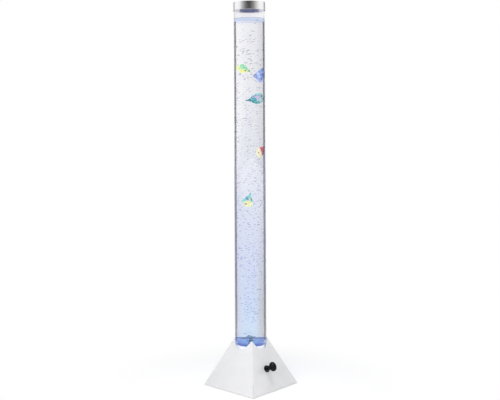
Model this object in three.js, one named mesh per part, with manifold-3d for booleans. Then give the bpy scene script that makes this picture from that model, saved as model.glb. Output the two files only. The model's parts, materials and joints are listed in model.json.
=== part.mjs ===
// Bubble fish lamp: a water-filled clear tube on a pyramid base, with plastic fish that ride the bubbles.
// Millimetres, +Z up the tube, origin on the floor under the tube's axis, the knob on the -Y face.

import * as THREE from 'three';
import { mergeVertices } from 'three/addons/utils/BufferGeometryUtils.js';
import Module from 'manifold-3d';

const wasm = await Module();
wasm.setup();

// Driving sizes of the whole lamp
const OVERALL_HEIGHT = 1220;
const BASE_SIDE = 211.5;
const FACE_RISE = 228;
const TUBE_DIAMETER = 100;
const TUBE_WALL = 4;
const CAP_WALL = 2.1;
const CAP_HEIGHT = 27;

// Clearances
const SEAT = 0.3;
const RUNNING = 0.3;
const OVERRUN = 5;

// Base shell, a folded and painted sheet
const SHEET = 1.5;
const SHELL_RISE = 1.5;
const FLANGE = 14;
const TUBE_OPENING_GAP = 0.8;
const PEAK_TRIM = 2.6;
const SEAM_WIDTH = 0.7;
const SEAM_HEIGHT = 58;
const SEAM_NOTCH_RADIUS = 1.8;
const SEAM_STRIP_WIDTH = 13;
const SEAM_STRIP_SHEET = 1;
const VENT_COUNT = 7;
const VENT_WIDTH = 3;
const VENT_LENGTH = 22;
const VENT_PITCH = 9;
const VENT_HEIGHT = 46;

// Floor plate and the foam pad that the lamp stands on
const PLATE_SHEET = 1.7;
const PLATE_SIDE_GAP = 0.4;
const PAD_SIDE_GAP = 0.8;
const PAD_HOLE_GAP = 1;

// Pan-head screws
const SCREW_RADIUS = 1.4;
const SCREW_HEAD_RADIUS = 3.2;
const SCREW_HEAD_HEIGHT = 1;
const CORNER_SCREW_LENGTH = 7;
const LEG_SCREW_LENGTH = 12;

// Socket that holds the foot of the tube, on four legs
const SOCKET_WALL = 2;
const SOCKET_FLOOR_HEIGHT = 86;
const SOCKET_FLOOR = 3;
const SOCKET_DEPTH = 18;
const SOCKET_BORE_RADIUS = 30;
const LEG_RADIUS = 5;
const LEG_PUMP_GAP = 2;

// Clear floor of the water column, and the light under it
const WATER_FLOOR_RISE = 42;
const WATER_FLOOR = 14;
const BORE_FIT = 0.3;
const REFLECTOR_WALL = 2.4;
const REFLECTOR_PLATE = 2;
const REFLECTOR_PLATE_RISE = 15;
const REFLECTOR_BORE_RADIUS = 13;
const LED_BOARD = 1.6;
const LED_COUNT = 4;
const LED_SIZE = 5;
const LED_HEIGHT = 1.6;
const LED_LENS_RADIUS = 1.9;
const LED_LENS_HEIGHT = 0.5;
const LED_RING_RADIUS = 28;
const LED_LEAD_OFFSET = 20;

// Air fitting through the clear floor
const NOZZLE_RADIUS = 5;
const NOZZLE_FLANGE_RADIUS = 9;
const NOZZLE_FLANGE = 2.4;
const NOZZLE_NIPPLE = 2;
const NOZZLE_THREAD = 22;
const BARB_RADIUS = 2.4;
const BARB_LENGTH = 11;
const AIR_BORE_RADIUS = 1.2;
const NOZZLE_SEAL = 1;
const NOZZLE_NUT = 6;
const DIFFUSER_RADIUS = 12.5;
const DIFFUSER_WALL = 2;
const DIFFUSER_HEIGHT = 10;
const DIFFUSER_HOLES = 6;
const DIFFUSER_HOLE_RADIUS = 1;
const DIFFUSER_HOLE_CIRCLE = 7;

// Air hoses and the check valve
const HOSE_WALL = 1.5;
const VALVE_RADIUS = 6;
const VALVE_LENGTH = 20;
const VALVE_HEIGHT = 66;
const VALVE_BACK = 34;
const HOSE_TURN_REACH = 26;
const HOSE_RISE_REACH = 18;

// Air pump: a magnet on a lever, shaken by a coil, squeezes a bellows
const PUMP_WIDTH = 50;
const PUMP_LENGTH = 88;
const PUMP_HEIGHT = 36;
const PUMP_WALL = 2;
const PUMP_CUSHION = 4;
const PUMP_CUSHION_INSET = 2;
const PUMP_LID = 2.5;
const PUMP_LID_LIP = 2;
const PUMP_AXLE_HEIGHT = 17;
const CORE_WIDTH = 34;
const CORE_LENGTH = 26;
const CORE_HEIGHT = 16;
const CORE_BACK = 6;
const CORE_LEG = 6;
const CORE_CENTRE_LEG = 8;
const CORE_FROM_WALL = 3;
const COIL_WIDTH = 20.6;
const COIL_LENGTH = 15;
const COIL_HEIGHT = 28.6;
const MAGNET_GAP = 2;
const MAGNET_SIZE = 12;
const MAGNET_THICKNESS = 4;
const ARM_THICKNESS = 2;
const ARM_HEIGHT = 14;
const ARM_END = 18;
const ARM_HUB_RADIUS = 3.5;
const PIVOT_RADIUS = 1.5;
const PIVOT_FROM_WALL = 4.6;
const PIVOT_BOSS_WALL = 2.2;
const BELLOWS_RADIUS = 7;
const BELLOWS_NECK_RADIUS = 5;
const BELLOWS_LENGTH = 11;
const BELLOWS_SIDE = 8;
const ARM_SWING_GAP = 1.2;
const VALVE_BLOCK_WIDTH = 22;
const VALVE_BLOCK_LENGTH = 14;
const VALVE_BLOCK_HEIGHT = 28;
const OUTLET_RADIUS = 3;
const PUMP_LEAD_OFFSET = 10;
const PUMP_LEAD_HEIGHT = 12;
const PUMP_INTAKE_SLOT = 3;
const PUMP_INTAKE_LENGTH = 20;
const PUMP_INTAKE_PITCH = 9;
const PUMP_INTAKES = 3;

// Control board on its tray
const BOARD_WIDTH = 38;
const BOARD_LENGTH = 64;
const BOARD_SHEET = 1.6;
const BOARD_FROM_AXIS = 64;
const TRAY_SHEET = 2;
const TRAY_EDGE = 2;
const TRAY_POST = 5;
const TRAY_POST_RADIUS = 3;
const TRAY_POST_INSET = 5;
const CHIP_WIDTH = 8;
const CHIP_LENGTH = 14;
const CHIP_HEIGHT = 3;
const LEAD_RADIUS = 1.5;
const LEAD_INSET = 6;
const LEAD_STUB = 4;
const LEAD_REACH = 30;
const LEAD_HOLE_GAP = 0.6;

// Dimmer and its knob on the -Y face
const KNOB_ALONG = -12;
const KNOB_HEIGHT = 65.3;
const POT_RADIUS = 8;
const POT_DEPTH = 9;
const POT_FLOOR = 2;
const BUSHING_RADIUS = 4.2;
const BUSHING_LENGTH = 5;
const SHAFT_RADIUS = 3;
const POT_NUT_RADIUS = 6;
const POT_NUT = 2.4;
const BEZEL_RADIUS = 10.6;
const BEZEL_BORE_RADIUS = 7.2;
const BEZEL_HEIGHT = 4.4;
const KNOB_NECK_RADIUS = 6.5;
const KNOB_HEAD_RADIUS = 14.2;
const KNOB_HEAD = 7;
const KNOB_REACH = 32.5;
const KNOB_EDGE = 1.2;
const KNOB_ROOF = 4;
const KNOB_FLARE = 4;
const KNOB_FLUTES = 18;
const KNOB_FLUTE_RADIUS = 1.1;
const POINTER_WIDTH = 1.8;
const POINTER_DEPTH = 0.7;

// Power inlet on the +Y face
const INLET_ALONG = -50;
const INLET_HEIGHT = 24;
const INLET_RADIUS = 5.5;
const INLET_FLANGE_RADIUS = 7.4;
const INLET_FLANGE = 1.8;
const INLET_DEPTH = 14;
const INLET_SOCKET_RADIUS = 3.2;
const INLET_SOCKET_DEPTH = 10;
const INLET_PIN_RADIUS = 1;
const INLET_NUT = 3;
const INLET_NUT_RADIUS = 8.4;

// Top cap and the liner that plugs into the tube
const CAP_TOP = 1.5;
const CAP_SKIRT_GAP = 0.4;
const CAP_EDGE = 1;
const LINER_FLANGE = 1.5;
const LINER_WALL = 2.7;
const LINER_LIFT = 1;
const LINER_VENTS = 4;
const LINER_VENT_WIDTH = 6;
const LINER_VENT_DEPTH = 1.6;

// Fish, in five upright lanes side by side in the tube
const LANE_PITCH = 12;
const LANE_TURN = THREE.MathUtils.degToRad(-48.1);
const FISH_LENGTH = 49;
const FISH_HEIGHT = 46;
const FISH_THICKNESS = 9;
const FISH_WALL_GAP = 1;
const FIN_SHEET = 1.4;

// Facets round a full turn
const FINE_SIDES = 48;
const ROUND_SIDES = 24;
const SMALL_SIDES = 12;
const HOLE_SIDES = 8;
const HEX_SIDES = 6;
const HOSE_SIDES = 8;
const LEAD_SIDES = 6;
const HOSE_STEPS = 18;
const LEAD_STEPS = 16;
const FISH_SIDES = 10;

// Places that follow from the sizes above
const BASE_HALF = BASE_SIDE / 2;
const SHELL_APEX = SHELL_RISE + FACE_RISE;
const FACE_LEAN = Math.atan(BASE_HALF / FACE_RISE);
const TUBE_RADIUS = TUBE_DIAMETER / 2;
const TUBE_BORE_RADIUS = TUBE_RADIUS - TUBE_WALL;
const OPENING_RADIUS = TUBE_RADIUS + TUBE_OPENING_GAP;
const ARRIS_MEETS_TUBE = SHELL_APEX - (OPENING_RADIUS / Math.SQRT2) / Math.tan(FACE_LEAN);
const PEAK_TOP = ARRIS_MEETS_TUBE - PEAK_TRIM;
const PAD_TOP = SHELL_RISE + SHEET;
const PLATE_LOW = PAD_TOP + SEAT;
const PLATE_TOP = PLATE_LOW + PLATE_SHEET;
const FLANGE_OPENING_HALF = BASE_HALF - FLANGE;
const CORNER_SCREW_PLACE = BASE_HALF - FLANGE / 2;
const LEG_SPACING = PUMP_WIDTH + (LEG_PUMP_GAP + LEG_RADIUS) * 2;
const LEG_PLACE = LEG_SPACING / 2;
const SCREW_HOLE_RADIUS = SCREW_RADIUS + SEAT;
const SOCKET_SEAT = SOCKET_FLOOR_HEIGHT + SOCKET_FLOOR;
const SOCKET_RIM = SOCKET_SEAT + SOCKET_DEPTH;
const SOCKET_RADIUS = TUBE_RADIUS + SEAT + SOCKET_WALL;
const TUBE_LOW = SOCKET_SEAT + SEAT;
const BORE_FIT_RADIUS = TUBE_BORE_RADIUS - BORE_FIT;
const WATER_FLOOR_LOW = SOCKET_SEAT + WATER_FLOOR_RISE;
const WATER_FLOOR_TOP = WATER_FLOOR_LOW + WATER_FLOOR;
const REFLECTOR_TOP = WATER_FLOOR_LOW - SEAT;
const REFLECTOR_PLATE_HEIGHT = SOCKET_SEAT + REFLECTOR_PLATE_RISE;
const REFLECTOR_PLATE_TOP = REFLECTOR_PLATE_HEIGHT + REFLECTOR_PLATE;
const LED_BOARD_LOW = REFLECTOR_PLATE_TOP + SEAT;
const LED_BOARD_TOP = LED_BOARD_LOW + LED_BOARD;
const SEAL_LOW = WATER_FLOOR_TOP + SEAT;
const NOZZLE_FLANGE_LOW = SEAL_LOW + NOZZLE_SEAL + SEAT;
const NOZZLE_THREAD_LOW = WATER_FLOOR_TOP - NOZZLE_THREAD;
const NOZZLE_TAIL = NOZZLE_THREAD_LOW - BARB_LENGTH;
const PUMP_LOW = PLATE_TOP + SEAT + PUMP_CUSHION + SEAT;
const PUMP_FLOOR = PUMP_LOW + PUMP_WALL;
const PUMP_TOP = PUMP_LOW + PUMP_HEIGHT;
const PUMP_AXIS = PUMP_FLOOR + PUMP_AXLE_HEIGHT;
const CORE_LOW_Y = -PUMP_LENGTH / 2 + PUMP_WALL + CORE_FROM_WALL;
const CORE_TIP_Y = CORE_LOW_Y + CORE_LENGTH;
const MAGNET_LOW_Y = CORE_TIP_Y + MAGNET_GAP;
const ARM_LOW_Y = MAGNET_LOW_Y + MAGNET_THICKNESS + SEAT;
const ARM_MID_Y = ARM_LOW_Y + ARM_THICKNESS / 2;
const BELLOWS_LOW_Y = ARM_LOW_Y + ARM_THICKNESS + ARM_SWING_GAP;
const VALVE_BLOCK_LOW_Y = BELLOWS_LOW_Y + BELLOWS_LENGTH + SEAT;
const PIVOT_X = -PUMP_WIDTH / 2 + PUMP_WALL + PIVOT_FROM_WALL;
const OUTLET_END_Y = PUMP_LENGTH / 2 + BARB_LENGTH;
const BOARD_LOW = PLATE_TOP + SEAT + TRAY_SHEET + TRAY_POST + SEAT;
const BOARD_TOP = BOARD_LOW + BOARD_SHEET;
const CAP_BORE_RADIUS = TUBE_RADIUS + CAP_SKIRT_GAP;
const CAP_RADIUS = CAP_BORE_RADIUS + CAP_WALL;
const CAP_LOW = OVERALL_HEIGHT - CAP_HEIGHT;
const CAP_CEILING = OVERALL_HEIGHT - CAP_TOP;
const LINER_TOP = CAP_CEILING - SEAT;
const LINER_RECESS_RADIUS = BORE_FIT_RADIUS - LINER_WALL;
const TUBE_TOP = LINER_TOP - LINER_FLANGE - SEAT;
const HOSE_BORE_RADIUS = BARB_RADIUS + SEAT;
const POT_FRONT = -SHEET - SEAT;

// Half the width of the pyramid at a height, with its faces moved in by an inset
function halfWidth(height, inset) {
  return (SHELL_APEX - height) * Math.tan(FACE_LEAN) - inset / Math.cos(FACE_LEAN);
}

// Turns a closed geometry into a solid that can be cut and joined
function toSolid(geometry) {
  const bare = new THREE.BufferGeometry();
  bare.setAttribute('position', geometry.getAttribute('position').clone());
  if (geometry.index) {
    bare.setIndex(geometry.index.clone());
  }
  const merged = mergeVertices(bare);
  const corners = merged.index.array;
  const kept = [];
  for (let i = 0; i < corners.length; i += 3) {
    const [a, b, c] = [corners[i], corners[i + 1], corners[i + 2]];
    if (a !== b && b !== c && c !== a) {
      kept.push(a, b, c);
    }
  }
  return new wasm.Manifold(new wasm.Mesh({
    numProp: 3,
    vertProperties: new Float32Array(merged.getAttribute('position').array),
    triVerts: new Uint32Array(kept),
  }));
}

// Turns a solid back into a geometry for a mesh
function toGeometry(solid) {
  const mesh = solid.getMesh();
  const geometry = new THREE.BufferGeometry();
  geometry.setAttribute('position', new THREE.BufferAttribute(new Float32Array(mesh.vertProperties), 3));
  geometry.setIndex(new THREE.BufferAttribute(new Uint32Array(mesh.triVerts), 1));
  geometry.computeVertexNormals();
  return geometry;
}

// A block from its lowest to its highest corner
function block(low, high) {
  const size = high.map((value, i) => value - low[i]);
  const geometry = new THREE.BoxGeometry(...size);
  geometry.translate(...low.map((value, i) => value + size[i] / 2));
  return toSolid(geometry);
}

// A block centred on the axis in plan
function centredBlock(width, length, low, high) {
  return block([-width / 2, -length / 2, low], [width / 2, length / 2, high]);
}

// An upright round bar
function bar(radius, low, high, sides = ROUND_SIDES) {
  const geometry = new THREE.CylinderGeometry(radius, radius, high - low, sides);
  geometry.rotateX(Math.PI / 2);
  geometry.translate(0, 0, (low + high) / 2);
  return toSolid(geometry);
}

// A solid turned from a closed profile of [radius, height] points
function turned(points, sides = ROUND_SIDES) {
  const geometry = new THREE.LatheGeometry(points.map(([r, z]) => new THREE.Vector2(r, z)), sides);
  geometry.rotateX(Math.PI / 2);
  return toSolid(geometry);
}

// An upright ring
function ring(outer, inner, low, high, sides = ROUND_SIDES) {
  return turned([[inner, low], [outer, low], [outer, high], [inner, high], [inner, low]], sides);
}

// A solid turned about the Y axis from a closed profile of [radius, place along Y] points
function turnedAlongY(points, sides = SMALL_SIDES) {
  const geometry = new THREE.LatheGeometry(points.map(([r, y]) => new THREE.Vector2(r, y)), sides);
  return toSolid(geometry);
}

// Copies of a solid on the four corners of a square
function onFourCorners(solid, place) {
  return [[1, 1], [-1, 1], [-1, -1], [1, -1]].map(([x, y]) => solid.translate([x * place, y * place, 0]));
}

// Takes a list of solids away from the first
function cutAll(solid, tools) {
  return tools.reduce((left, tool) => left.subtract(tool), solid);
}

// Joins a list of solids
function joinAll(solids) {
  return solids.reduce((whole, piece) => whole.add(piece));
}

// A four-sided pyramid with the shell's slope, from a height upward
function pyramid(height, inset) {
  const half = halfWidth(height, inset);
  const rise = half / Math.tan(FACE_LEAN);
  const geometry = new THREE.ConeGeometry(half * Math.SQRT2, rise, 4, 1, false, Math.PI / 4);
  geometry.rotateX(Math.PI / 2);
  geometry.translate(0, 0, height + rise / 2);
  return toSolid(geometry);
}

// A group whose Z axis leaves the sloping -Y face at a place along it and up it
function faceGroup(along, height) {
  const group = new THREE.Group();
  group.position.set(along, -halfWidth(height, 0), height);
  group.rotation.x = Math.PI / 2 - FACE_LEAN;
  return group;
}

// A solid drawn on the -Y face's own axes, moved to its place in the lamp
function placedOnFace(solid, along, height) {
  const group = faceGroup(along, height);
  group.updateMatrix();
  return solid.transform(group.matrix.toArray());
}

const HALF_TURN = [0, 0, 180];
const lamp = new THREE.Group();

const MATERIALS = {
  whitePaint: { color: 0xf4f5f6, roughness: 0.25, metalness: 0 },
  zincPlate: { color: 0x9ea3a8, roughness: 0.45, metalness: 1 },
  steel: { color: 0xb4b7bb, roughness: 0.3, metalness: 1 },
  foam: { color: 0x2b2c2e, roughness: 0.95, metalness: 0 },
  whitePlastic: { color: 0xf1f2f4, roughness: 0.45, metalness: 0 },
  clearAcrylic: { color: 0xe6f0fa, roughness: 0.03, metalness: 0, transparent: true, opacity: 0.3 },
  satinMetal: { color: 0xb9babc, roughness: 0.32, metalness: 1 },
  blackPlastic: { color: 0x17181a, roughness: 0.35, metalness: 0 },
  board: { color: 0x1f6b45, roughness: 0.5, metalness: 0 },
  whiteBoard: { color: 0xe9eaec, roughness: 0.45, metalness: 0 },
  lens: { color: 0xcfe0ff, roughness: 0.15, metalness: 0 },
  siliconeHose: { color: 0xd9e2e8, roughness: 0.35, metalness: 0 },
  rubber: { color: 0x222326, roughness: 0.8, metalness: 0 },
  copper: { color: 0xb36a3a, roughness: 0.4, metalness: 1 },
  iron: { color: 0x5d6065, roughness: 0.55, metalness: 1 },
  brass: { color: 0xc2a25a, roughness: 0.35, metalness: 1 },
  leadSleeve: { color: 0xd8d9da, roughness: 0.6, metalness: 0 },
};

// Adds one named piece with its own material to a group
function addPiece(parent, name, solid, finish) {
  const mesh = new THREE.Mesh(toGeometry(solid), new THREE.MeshStandardMaterial(finish));
  mesh.name = name;
  parent.add(mesh);
}

// The slit along the lower front arris, with its relief notch at the foot
function seamCut() {
  const reach = BASE_HALF * Math.SQRT2;
  const inner = reach - FLANGE * Math.SQRT2 - OVERRUN;
  const slit = block([inner, -SEAM_WIDTH / 2, 0], [reach + OVERRUN, SEAM_WIDTH / 2, SEAM_HEIGHT]);
  const notch = bar(SEAM_NOTCH_RADIUS, 0, PAD_TOP + OVERRUN, HOLE_SIDES).translate([reach, 0, 0]);
  return slit.add(notch).rotate([0, 0, -135]);
}

// Upright cooling and breathing slots in the rear face
function ventCuts() {
  const cuts = [];
  for (let i = 0; i < VENT_COUNT; i += 1) {
    const place = (i - (VENT_COUNT - 1) / 2) * VENT_PITCH;
    const slot = block(
      [place - VENT_WIDTH / 2, -VENT_LENGTH / 2, -SHEET - OVERRUN],
      [place + VENT_WIDTH / 2, VENT_LENGTH / 2, OVERRUN],
    );
    cuts.push(placedOnFace(slot, 0, VENT_HEIGHT).rotate(HALF_TURN));
  }
  return cuts;
}

// Folded pyramid shell with its inward flange, tube opening, knob hole, inlet hole and vents
function baseShell() {
  const outer = pyramid(SHELL_RISE, 0);
  const hollow = pyramid(PAD_TOP, SHEET);
  const opening = FLANGE_OPENING_HALF * 2;
  const flangeOpening = centredBlock(opening, opening, 0, PAD_TOP + OVERRUN);
  const tubeOpening = bar(OPENING_RADIUS, SOCKET_RIM, SHELL_APEX + OVERRUN, FINE_SIDES);
  const socketRoom = bar(SOCKET_RADIUS + TUBE_OPENING_GAP, SOCKET_FLOOR_HEIGHT, SOCKET_RIM + TUBE_OPENING_GAP,
    FINE_SIDES);
  const aboveThePeaks = centredBlock(BASE_SIDE, BASE_SIDE, PEAK_TOP, SHELL_APEX + OVERRUN);
  const knobHole = bar(BUSHING_RADIUS + SEAT, -SHEET - OVERRUN, OVERRUN, SMALL_SIDES);
  const inletHole = bar(INLET_RADIUS + SEAT, -SHEET - OVERRUN, OVERRUN, SMALL_SIDES);
  const screwHole = bar(SCREW_HOLE_RADIUS, 0, PAD_TOP + OVERRUN, HOLE_SIDES);
  return cutAll(outer, [
    hollow,
    flangeOpening,
    tubeOpening,
    socketRoom,
    aboveThePeaks,
    placedOnFace(knobHole, KNOB_ALONG, KNOB_HEIGHT),
    placedOnFace(inletHole, INLET_ALONG, INLET_HEIGHT).rotate(HALF_TURN),
    seamCut(),
    ...ventCuts(),
    ...onFourCorners(screwHole, CORNER_SCREW_PLACE),
  ]);
}

// Angle strip that backs the front seam from inside, over the plate and the tip of the corner screw
function seamStrip() {
  const low = Math.max(PLATE_TOP, SHELL_RISE + CORNER_SCREW_LENGTH) + SEAT;
  const front = SHEET + SEAT;
  const skin = pyramid(low, front).subtract(pyramid(low - OVERRUN, front + SEAM_STRIP_SHEET));
  const cornerHalf = halfWidth(low, front);
  const reach = cornerHalf * Math.SQRT2;
  const stripTop = SEAM_HEIGHT + SEAM_STRIP_WIDTH;
  const lean = (stripTop - low) * Math.tan(FACE_LEAN) * Math.SQRT2;
  const band = block(
    [reach - lean - SEAM_STRIP_WIDTH * 2, -SEAM_STRIP_WIDTH, low],
    [reach + OVERRUN, SEAM_STRIP_WIDTH, stripTop],
  ).rotate([0, 0, -135]);
  return skin.intersect(band);
}

// Steel plate that closes the base from below
function floorPlate() {
  const half = halfWidth(PLATE_TOP, SHEET) - PLATE_SIDE_GAP;
  const plate = centredBlock(half * 2, half * 2, PLATE_LOW, PLATE_TOP);
  const hole = bar(SCREW_HOLE_RADIUS, 0, PLATE_TOP + OVERRUN, HOLE_SIDES);
  return cutAll(plate, [
    ...onFourCorners(hole, CORNER_SCREW_PLACE),
    ...onFourCorners(hole, LEG_PLACE),
  ]);
}

// Foam pad under the plate, which the lamp stands on
function footPad() {
  const side = (FLANGE_OPENING_HALF - PAD_SIDE_GAP) * 2;
  const access = bar(SCREW_HEAD_RADIUS + PAD_HOLE_GAP, -OVERRUN, PAD_TOP + OVERRUN, SMALL_SIDES);
  return cutAll(centredBlock(side, side, 0, PAD_TOP), onFourCorners(access, LEG_PLACE));
}

// Cross-recessed screw whose head is under a seat height
function screw(seat, length) {
  const headTop = seat - SEAT;
  const headLow = headTop - SCREW_HEAD_HEIGHT;
  const body = turned([
    [0, headLow],
    [SCREW_HEAD_RADIUS, headLow],
    [SCREW_HEAD_RADIUS, headTop],
    [SCREW_RADIUS, headTop],
    [SCREW_RADIUS, seat + length - SCREW_RADIUS],
    [0, seat + length],
  ], SMALL_SIDES);
  const arm = SCREW_HEAD_RADIUS;
  const blade = SCREW_HEAD_HEIGHT / 2;
  const slotTop = headLow + blade;
  return cutAll(body, [
    centredBlock(arm, blade, headLow - OVERRUN, slotTop),
    centredBlock(blade, arm, headLow - OVERRUN, slotTop),
  ]);
}

// Moulded cup on four legs that carries the foot of the tube
function tubeSocket() {
  const cup = turned([
    [SOCKET_BORE_RADIUS, SOCKET_FLOOR_HEIGHT],
    [SOCKET_RADIUS, SOCKET_FLOOR_HEIGHT],
    [SOCKET_RADIUS, SOCKET_RIM],
    [TUBE_RADIUS + SEAT, SOCKET_RIM],
    [TUBE_RADIUS + SEAT, SOCKET_SEAT],
    [SOCKET_BORE_RADIUS, SOCKET_SEAT],
    [SOCKET_BORE_RADIUS, SOCKET_FLOOR_HEIGHT],
  ], FINE_SIDES);
  const leg = bar(LEG_RADIUS, PLATE_TOP + SEAT, SOCKET_FLOOR_HEIGHT + SOCKET_FLOOR / 2, SMALL_SIDES);
  const pilot = bar(SCREW_HOLE_RADIUS, 0, PLATE_LOW + LEG_SCREW_LENGTH + SCREW_RADIUS, HOLE_SIDES);
  const legs = onFourCorners(leg.subtract(pilot), LEG_PLACE);
  return joinAll([cup, ...legs]);
}

// White ring that stands in the tube under the clear floor and holds the light board
function ledReflector() {
  const inner = BORE_FIT_RADIUS - REFLECTOR_WALL;
  const body = turned([
    [REFLECTOR_BORE_RADIUS, REFLECTOR_PLATE_HEIGHT],
    [inner, REFLECTOR_PLATE_HEIGHT],
    [inner, TUBE_LOW],
    [BORE_FIT_RADIUS, TUBE_LOW],
    [BORE_FIT_RADIUS, REFLECTOR_TOP],
    [inner, REFLECTOR_TOP],
    [inner, REFLECTOR_PLATE_TOP],
    [REFLECTOR_BORE_RADIUS, REFLECTOR_PLATE_TOP],
    [REFLECTOR_BORE_RADIUS, REFLECTOR_PLATE_HEIGHT],
  ], FINE_SIDES);
  const leadHole = bar(LEAD_RADIUS + LEAD_HOLE_GAP, REFLECTOR_PLATE_HEIGHT - OVERRUN,
    REFLECTOR_PLATE_TOP + OVERRUN, HOLE_SIDES);
  return body.subtract(leadHole.translate([LED_LEAD_OFFSET, 0, 0]));
}

// One light-emitting package with its domed window
function ledPackage() {
  const low = LED_BOARD_TOP + SEAT;
  const top = low + LED_HEIGHT;
  const lens = bar(LED_LENS_RADIUS, low, top + LED_LENS_HEIGHT, SMALL_SIDES);
  return centredBlock(LED_SIZE, LED_SIZE, low, top).add(lens).translate([LED_RING_RADIUS, 0, 0]);
}

// Threaded air fitting with a barb below and a nipple above
function airNozzle() {
  const flangeTop = NOZZLE_FLANGE_LOW + NOZZLE_FLANGE;
  return turned([
    [AIR_BORE_RADIUS, NOZZLE_TAIL],
    [BARB_RADIUS, NOZZLE_TAIL],
    [BARB_RADIUS, NOZZLE_THREAD_LOW],
    [NOZZLE_RADIUS, NOZZLE_THREAD_LOW],
    [NOZZLE_RADIUS, NOZZLE_FLANGE_LOW],
    [NOZZLE_FLANGE_RADIUS, NOZZLE_FLANGE_LOW],
    [NOZZLE_FLANGE_RADIUS, flangeTop],
    [NOZZLE_RADIUS, flangeTop],
    [NOZZLE_RADIUS, flangeTop + NOZZLE_NIPPLE],
    [AIR_BORE_RADIUS, flangeTop + NOZZLE_NIPPLE],
    [AIR_BORE_RADIUS, NOZZLE_TAIL],
  ], SMALL_SIDES);
}

// Perforated hood over the nozzle that breaks the air into bubbles
function airDiffuser() {
  const top = SEAL_LOW + DIFFUSER_HEIGHT;
  const inner = DIFFUSER_RADIUS - DIFFUSER_WALL;
  const hood = turned([
    [inner, SEAL_LOW],
    [DIFFUSER_RADIUS, SEAL_LOW],
    [DIFFUSER_RADIUS, top - DIFFUSER_WALL],
    [inner, top],
    [0, top],
    [0, top - DIFFUSER_WALL],
    [inner, top - DIFFUSER_WALL],
    [inner, SEAL_LOW],
  ]);
  const hole = bar(DIFFUSER_HOLE_RADIUS, SEAL_LOW, top + OVERRUN, HOLE_SIDES);
  const holes = [];
  for (let i = 0; i < DIFFUSER_HOLES; i += 1) {
    holes.push(hole.translate([DIFFUSER_HOLE_CIRCLE, 0, 0]).rotate([0, 0, (360 * i) / DIFFUSER_HOLES]));
  }
  return cutAll(hood, holes);
}

// A straight, bent, straight run between two ports that point out of what they belong to
function run(start, startWay, end, endWay, stub, reach) {
  const from = start.clone().addScaledVector(startWay, stub);
  const to = end.clone().addScaledVector(endWay, stub);
  const path = new THREE.CurvePath();
  path.add(new THREE.LineCurve3(start, from));
  path.add(new THREE.CubicBezierCurve3(
    from,
    from.clone().addScaledVector(startWay, reach),
    to.clone().addScaledVector(endWay, reach),
    to,
  ));
  path.add(new THREE.LineCurve3(to, end));
  return path;
}

// A section swept along a path
function swept(section, path, steps) {
  return toSolid(new THREE.ExtrudeGeometry(section, { steps, extrudePath: path, bevelEnabled: false }));
}

// A regular outline with a number of sides
function roundOutline(radius, sides) {
  const points = [];
  for (let i = 0; i < sides; i += 1) {
    const angle = (2 * Math.PI * i) / sides;
    points.push(new THREE.Vector2(radius * Math.cos(angle), radius * Math.sin(angle)));
  }
  return points;
}

// A soft hose with its bore
function hose(path) {
  const section = new THREE.Shape(roundOutline(HOSE_BORE_RADIUS + HOSE_WALL, HOSE_SIDES));
  section.holes.push(new THREE.Path(roundOutline(HOSE_BORE_RADIUS, HOSE_SIDES)));
  return swept(section, path, HOSE_STEPS);
}

// A sleeved lead
function lead(path) {
  return swept(new THREE.Shape(roundOutline(LEAD_RADIUS, LEAD_SIDES)), path, LEAD_STEPS);
}

const UP = new THREE.Vector3(0, 0, 1);
const DOWN = new THREE.Vector3(0, 0, -1);
const REARWARD = new THREE.Vector3(0, 1, 0);
const FORWARD = new THREE.Vector3(0, -1, 0);

// In-line check valve that keeps the water out of the pump, between two barbs
function checkValve() {
  const front = VALVE_BACK - VALVE_LENGTH;
  return turnedAlongY([
    [AIR_BORE_RADIUS, front - BARB_LENGTH],
    [BARB_RADIUS, front - BARB_LENGTH],
    [BARB_RADIUS, front],
    [VALVE_RADIUS, front],
    [VALVE_RADIUS, VALVE_BACK],
    [BARB_RADIUS, VALVE_BACK],
    [BARB_RADIUS, VALVE_BACK + BARB_LENGTH],
    [AIR_BORE_RADIUS, VALVE_BACK + BARB_LENGTH],
    [AIR_BORE_RADIUS, front - BARB_LENGTH],
  ]).translate([0, 0, VALVE_HEIGHT]);
}

// Hose from the pump's outlet round to the check valve
function lowerHose() {
  const start = new THREE.Vector3(BELLOWS_SIDE, PUMP_LENGTH / 2 + SEAT, PUMP_AXIS);
  const end = new THREE.Vector3(0, VALVE_BACK + SEAT, VALVE_HEIGHT);
  return hose(run(start, REARWARD, end, REARWARD, BARB_LENGTH, HOSE_TURN_REACH));
}

// Hose from the check valve up to the nozzle
function upperHose() {
  const front = VALVE_BACK - VALVE_LENGTH - SEAT;
  const start = new THREE.Vector3(0, front, VALVE_HEIGHT);
  const end = new THREE.Vector3(0, 0, NOZZLE_THREAD_LOW - SEAT);
  return hose(run(start, FORWARD, end, DOWN, BARB_LENGTH, HOSE_RISE_REACH));
}

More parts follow.
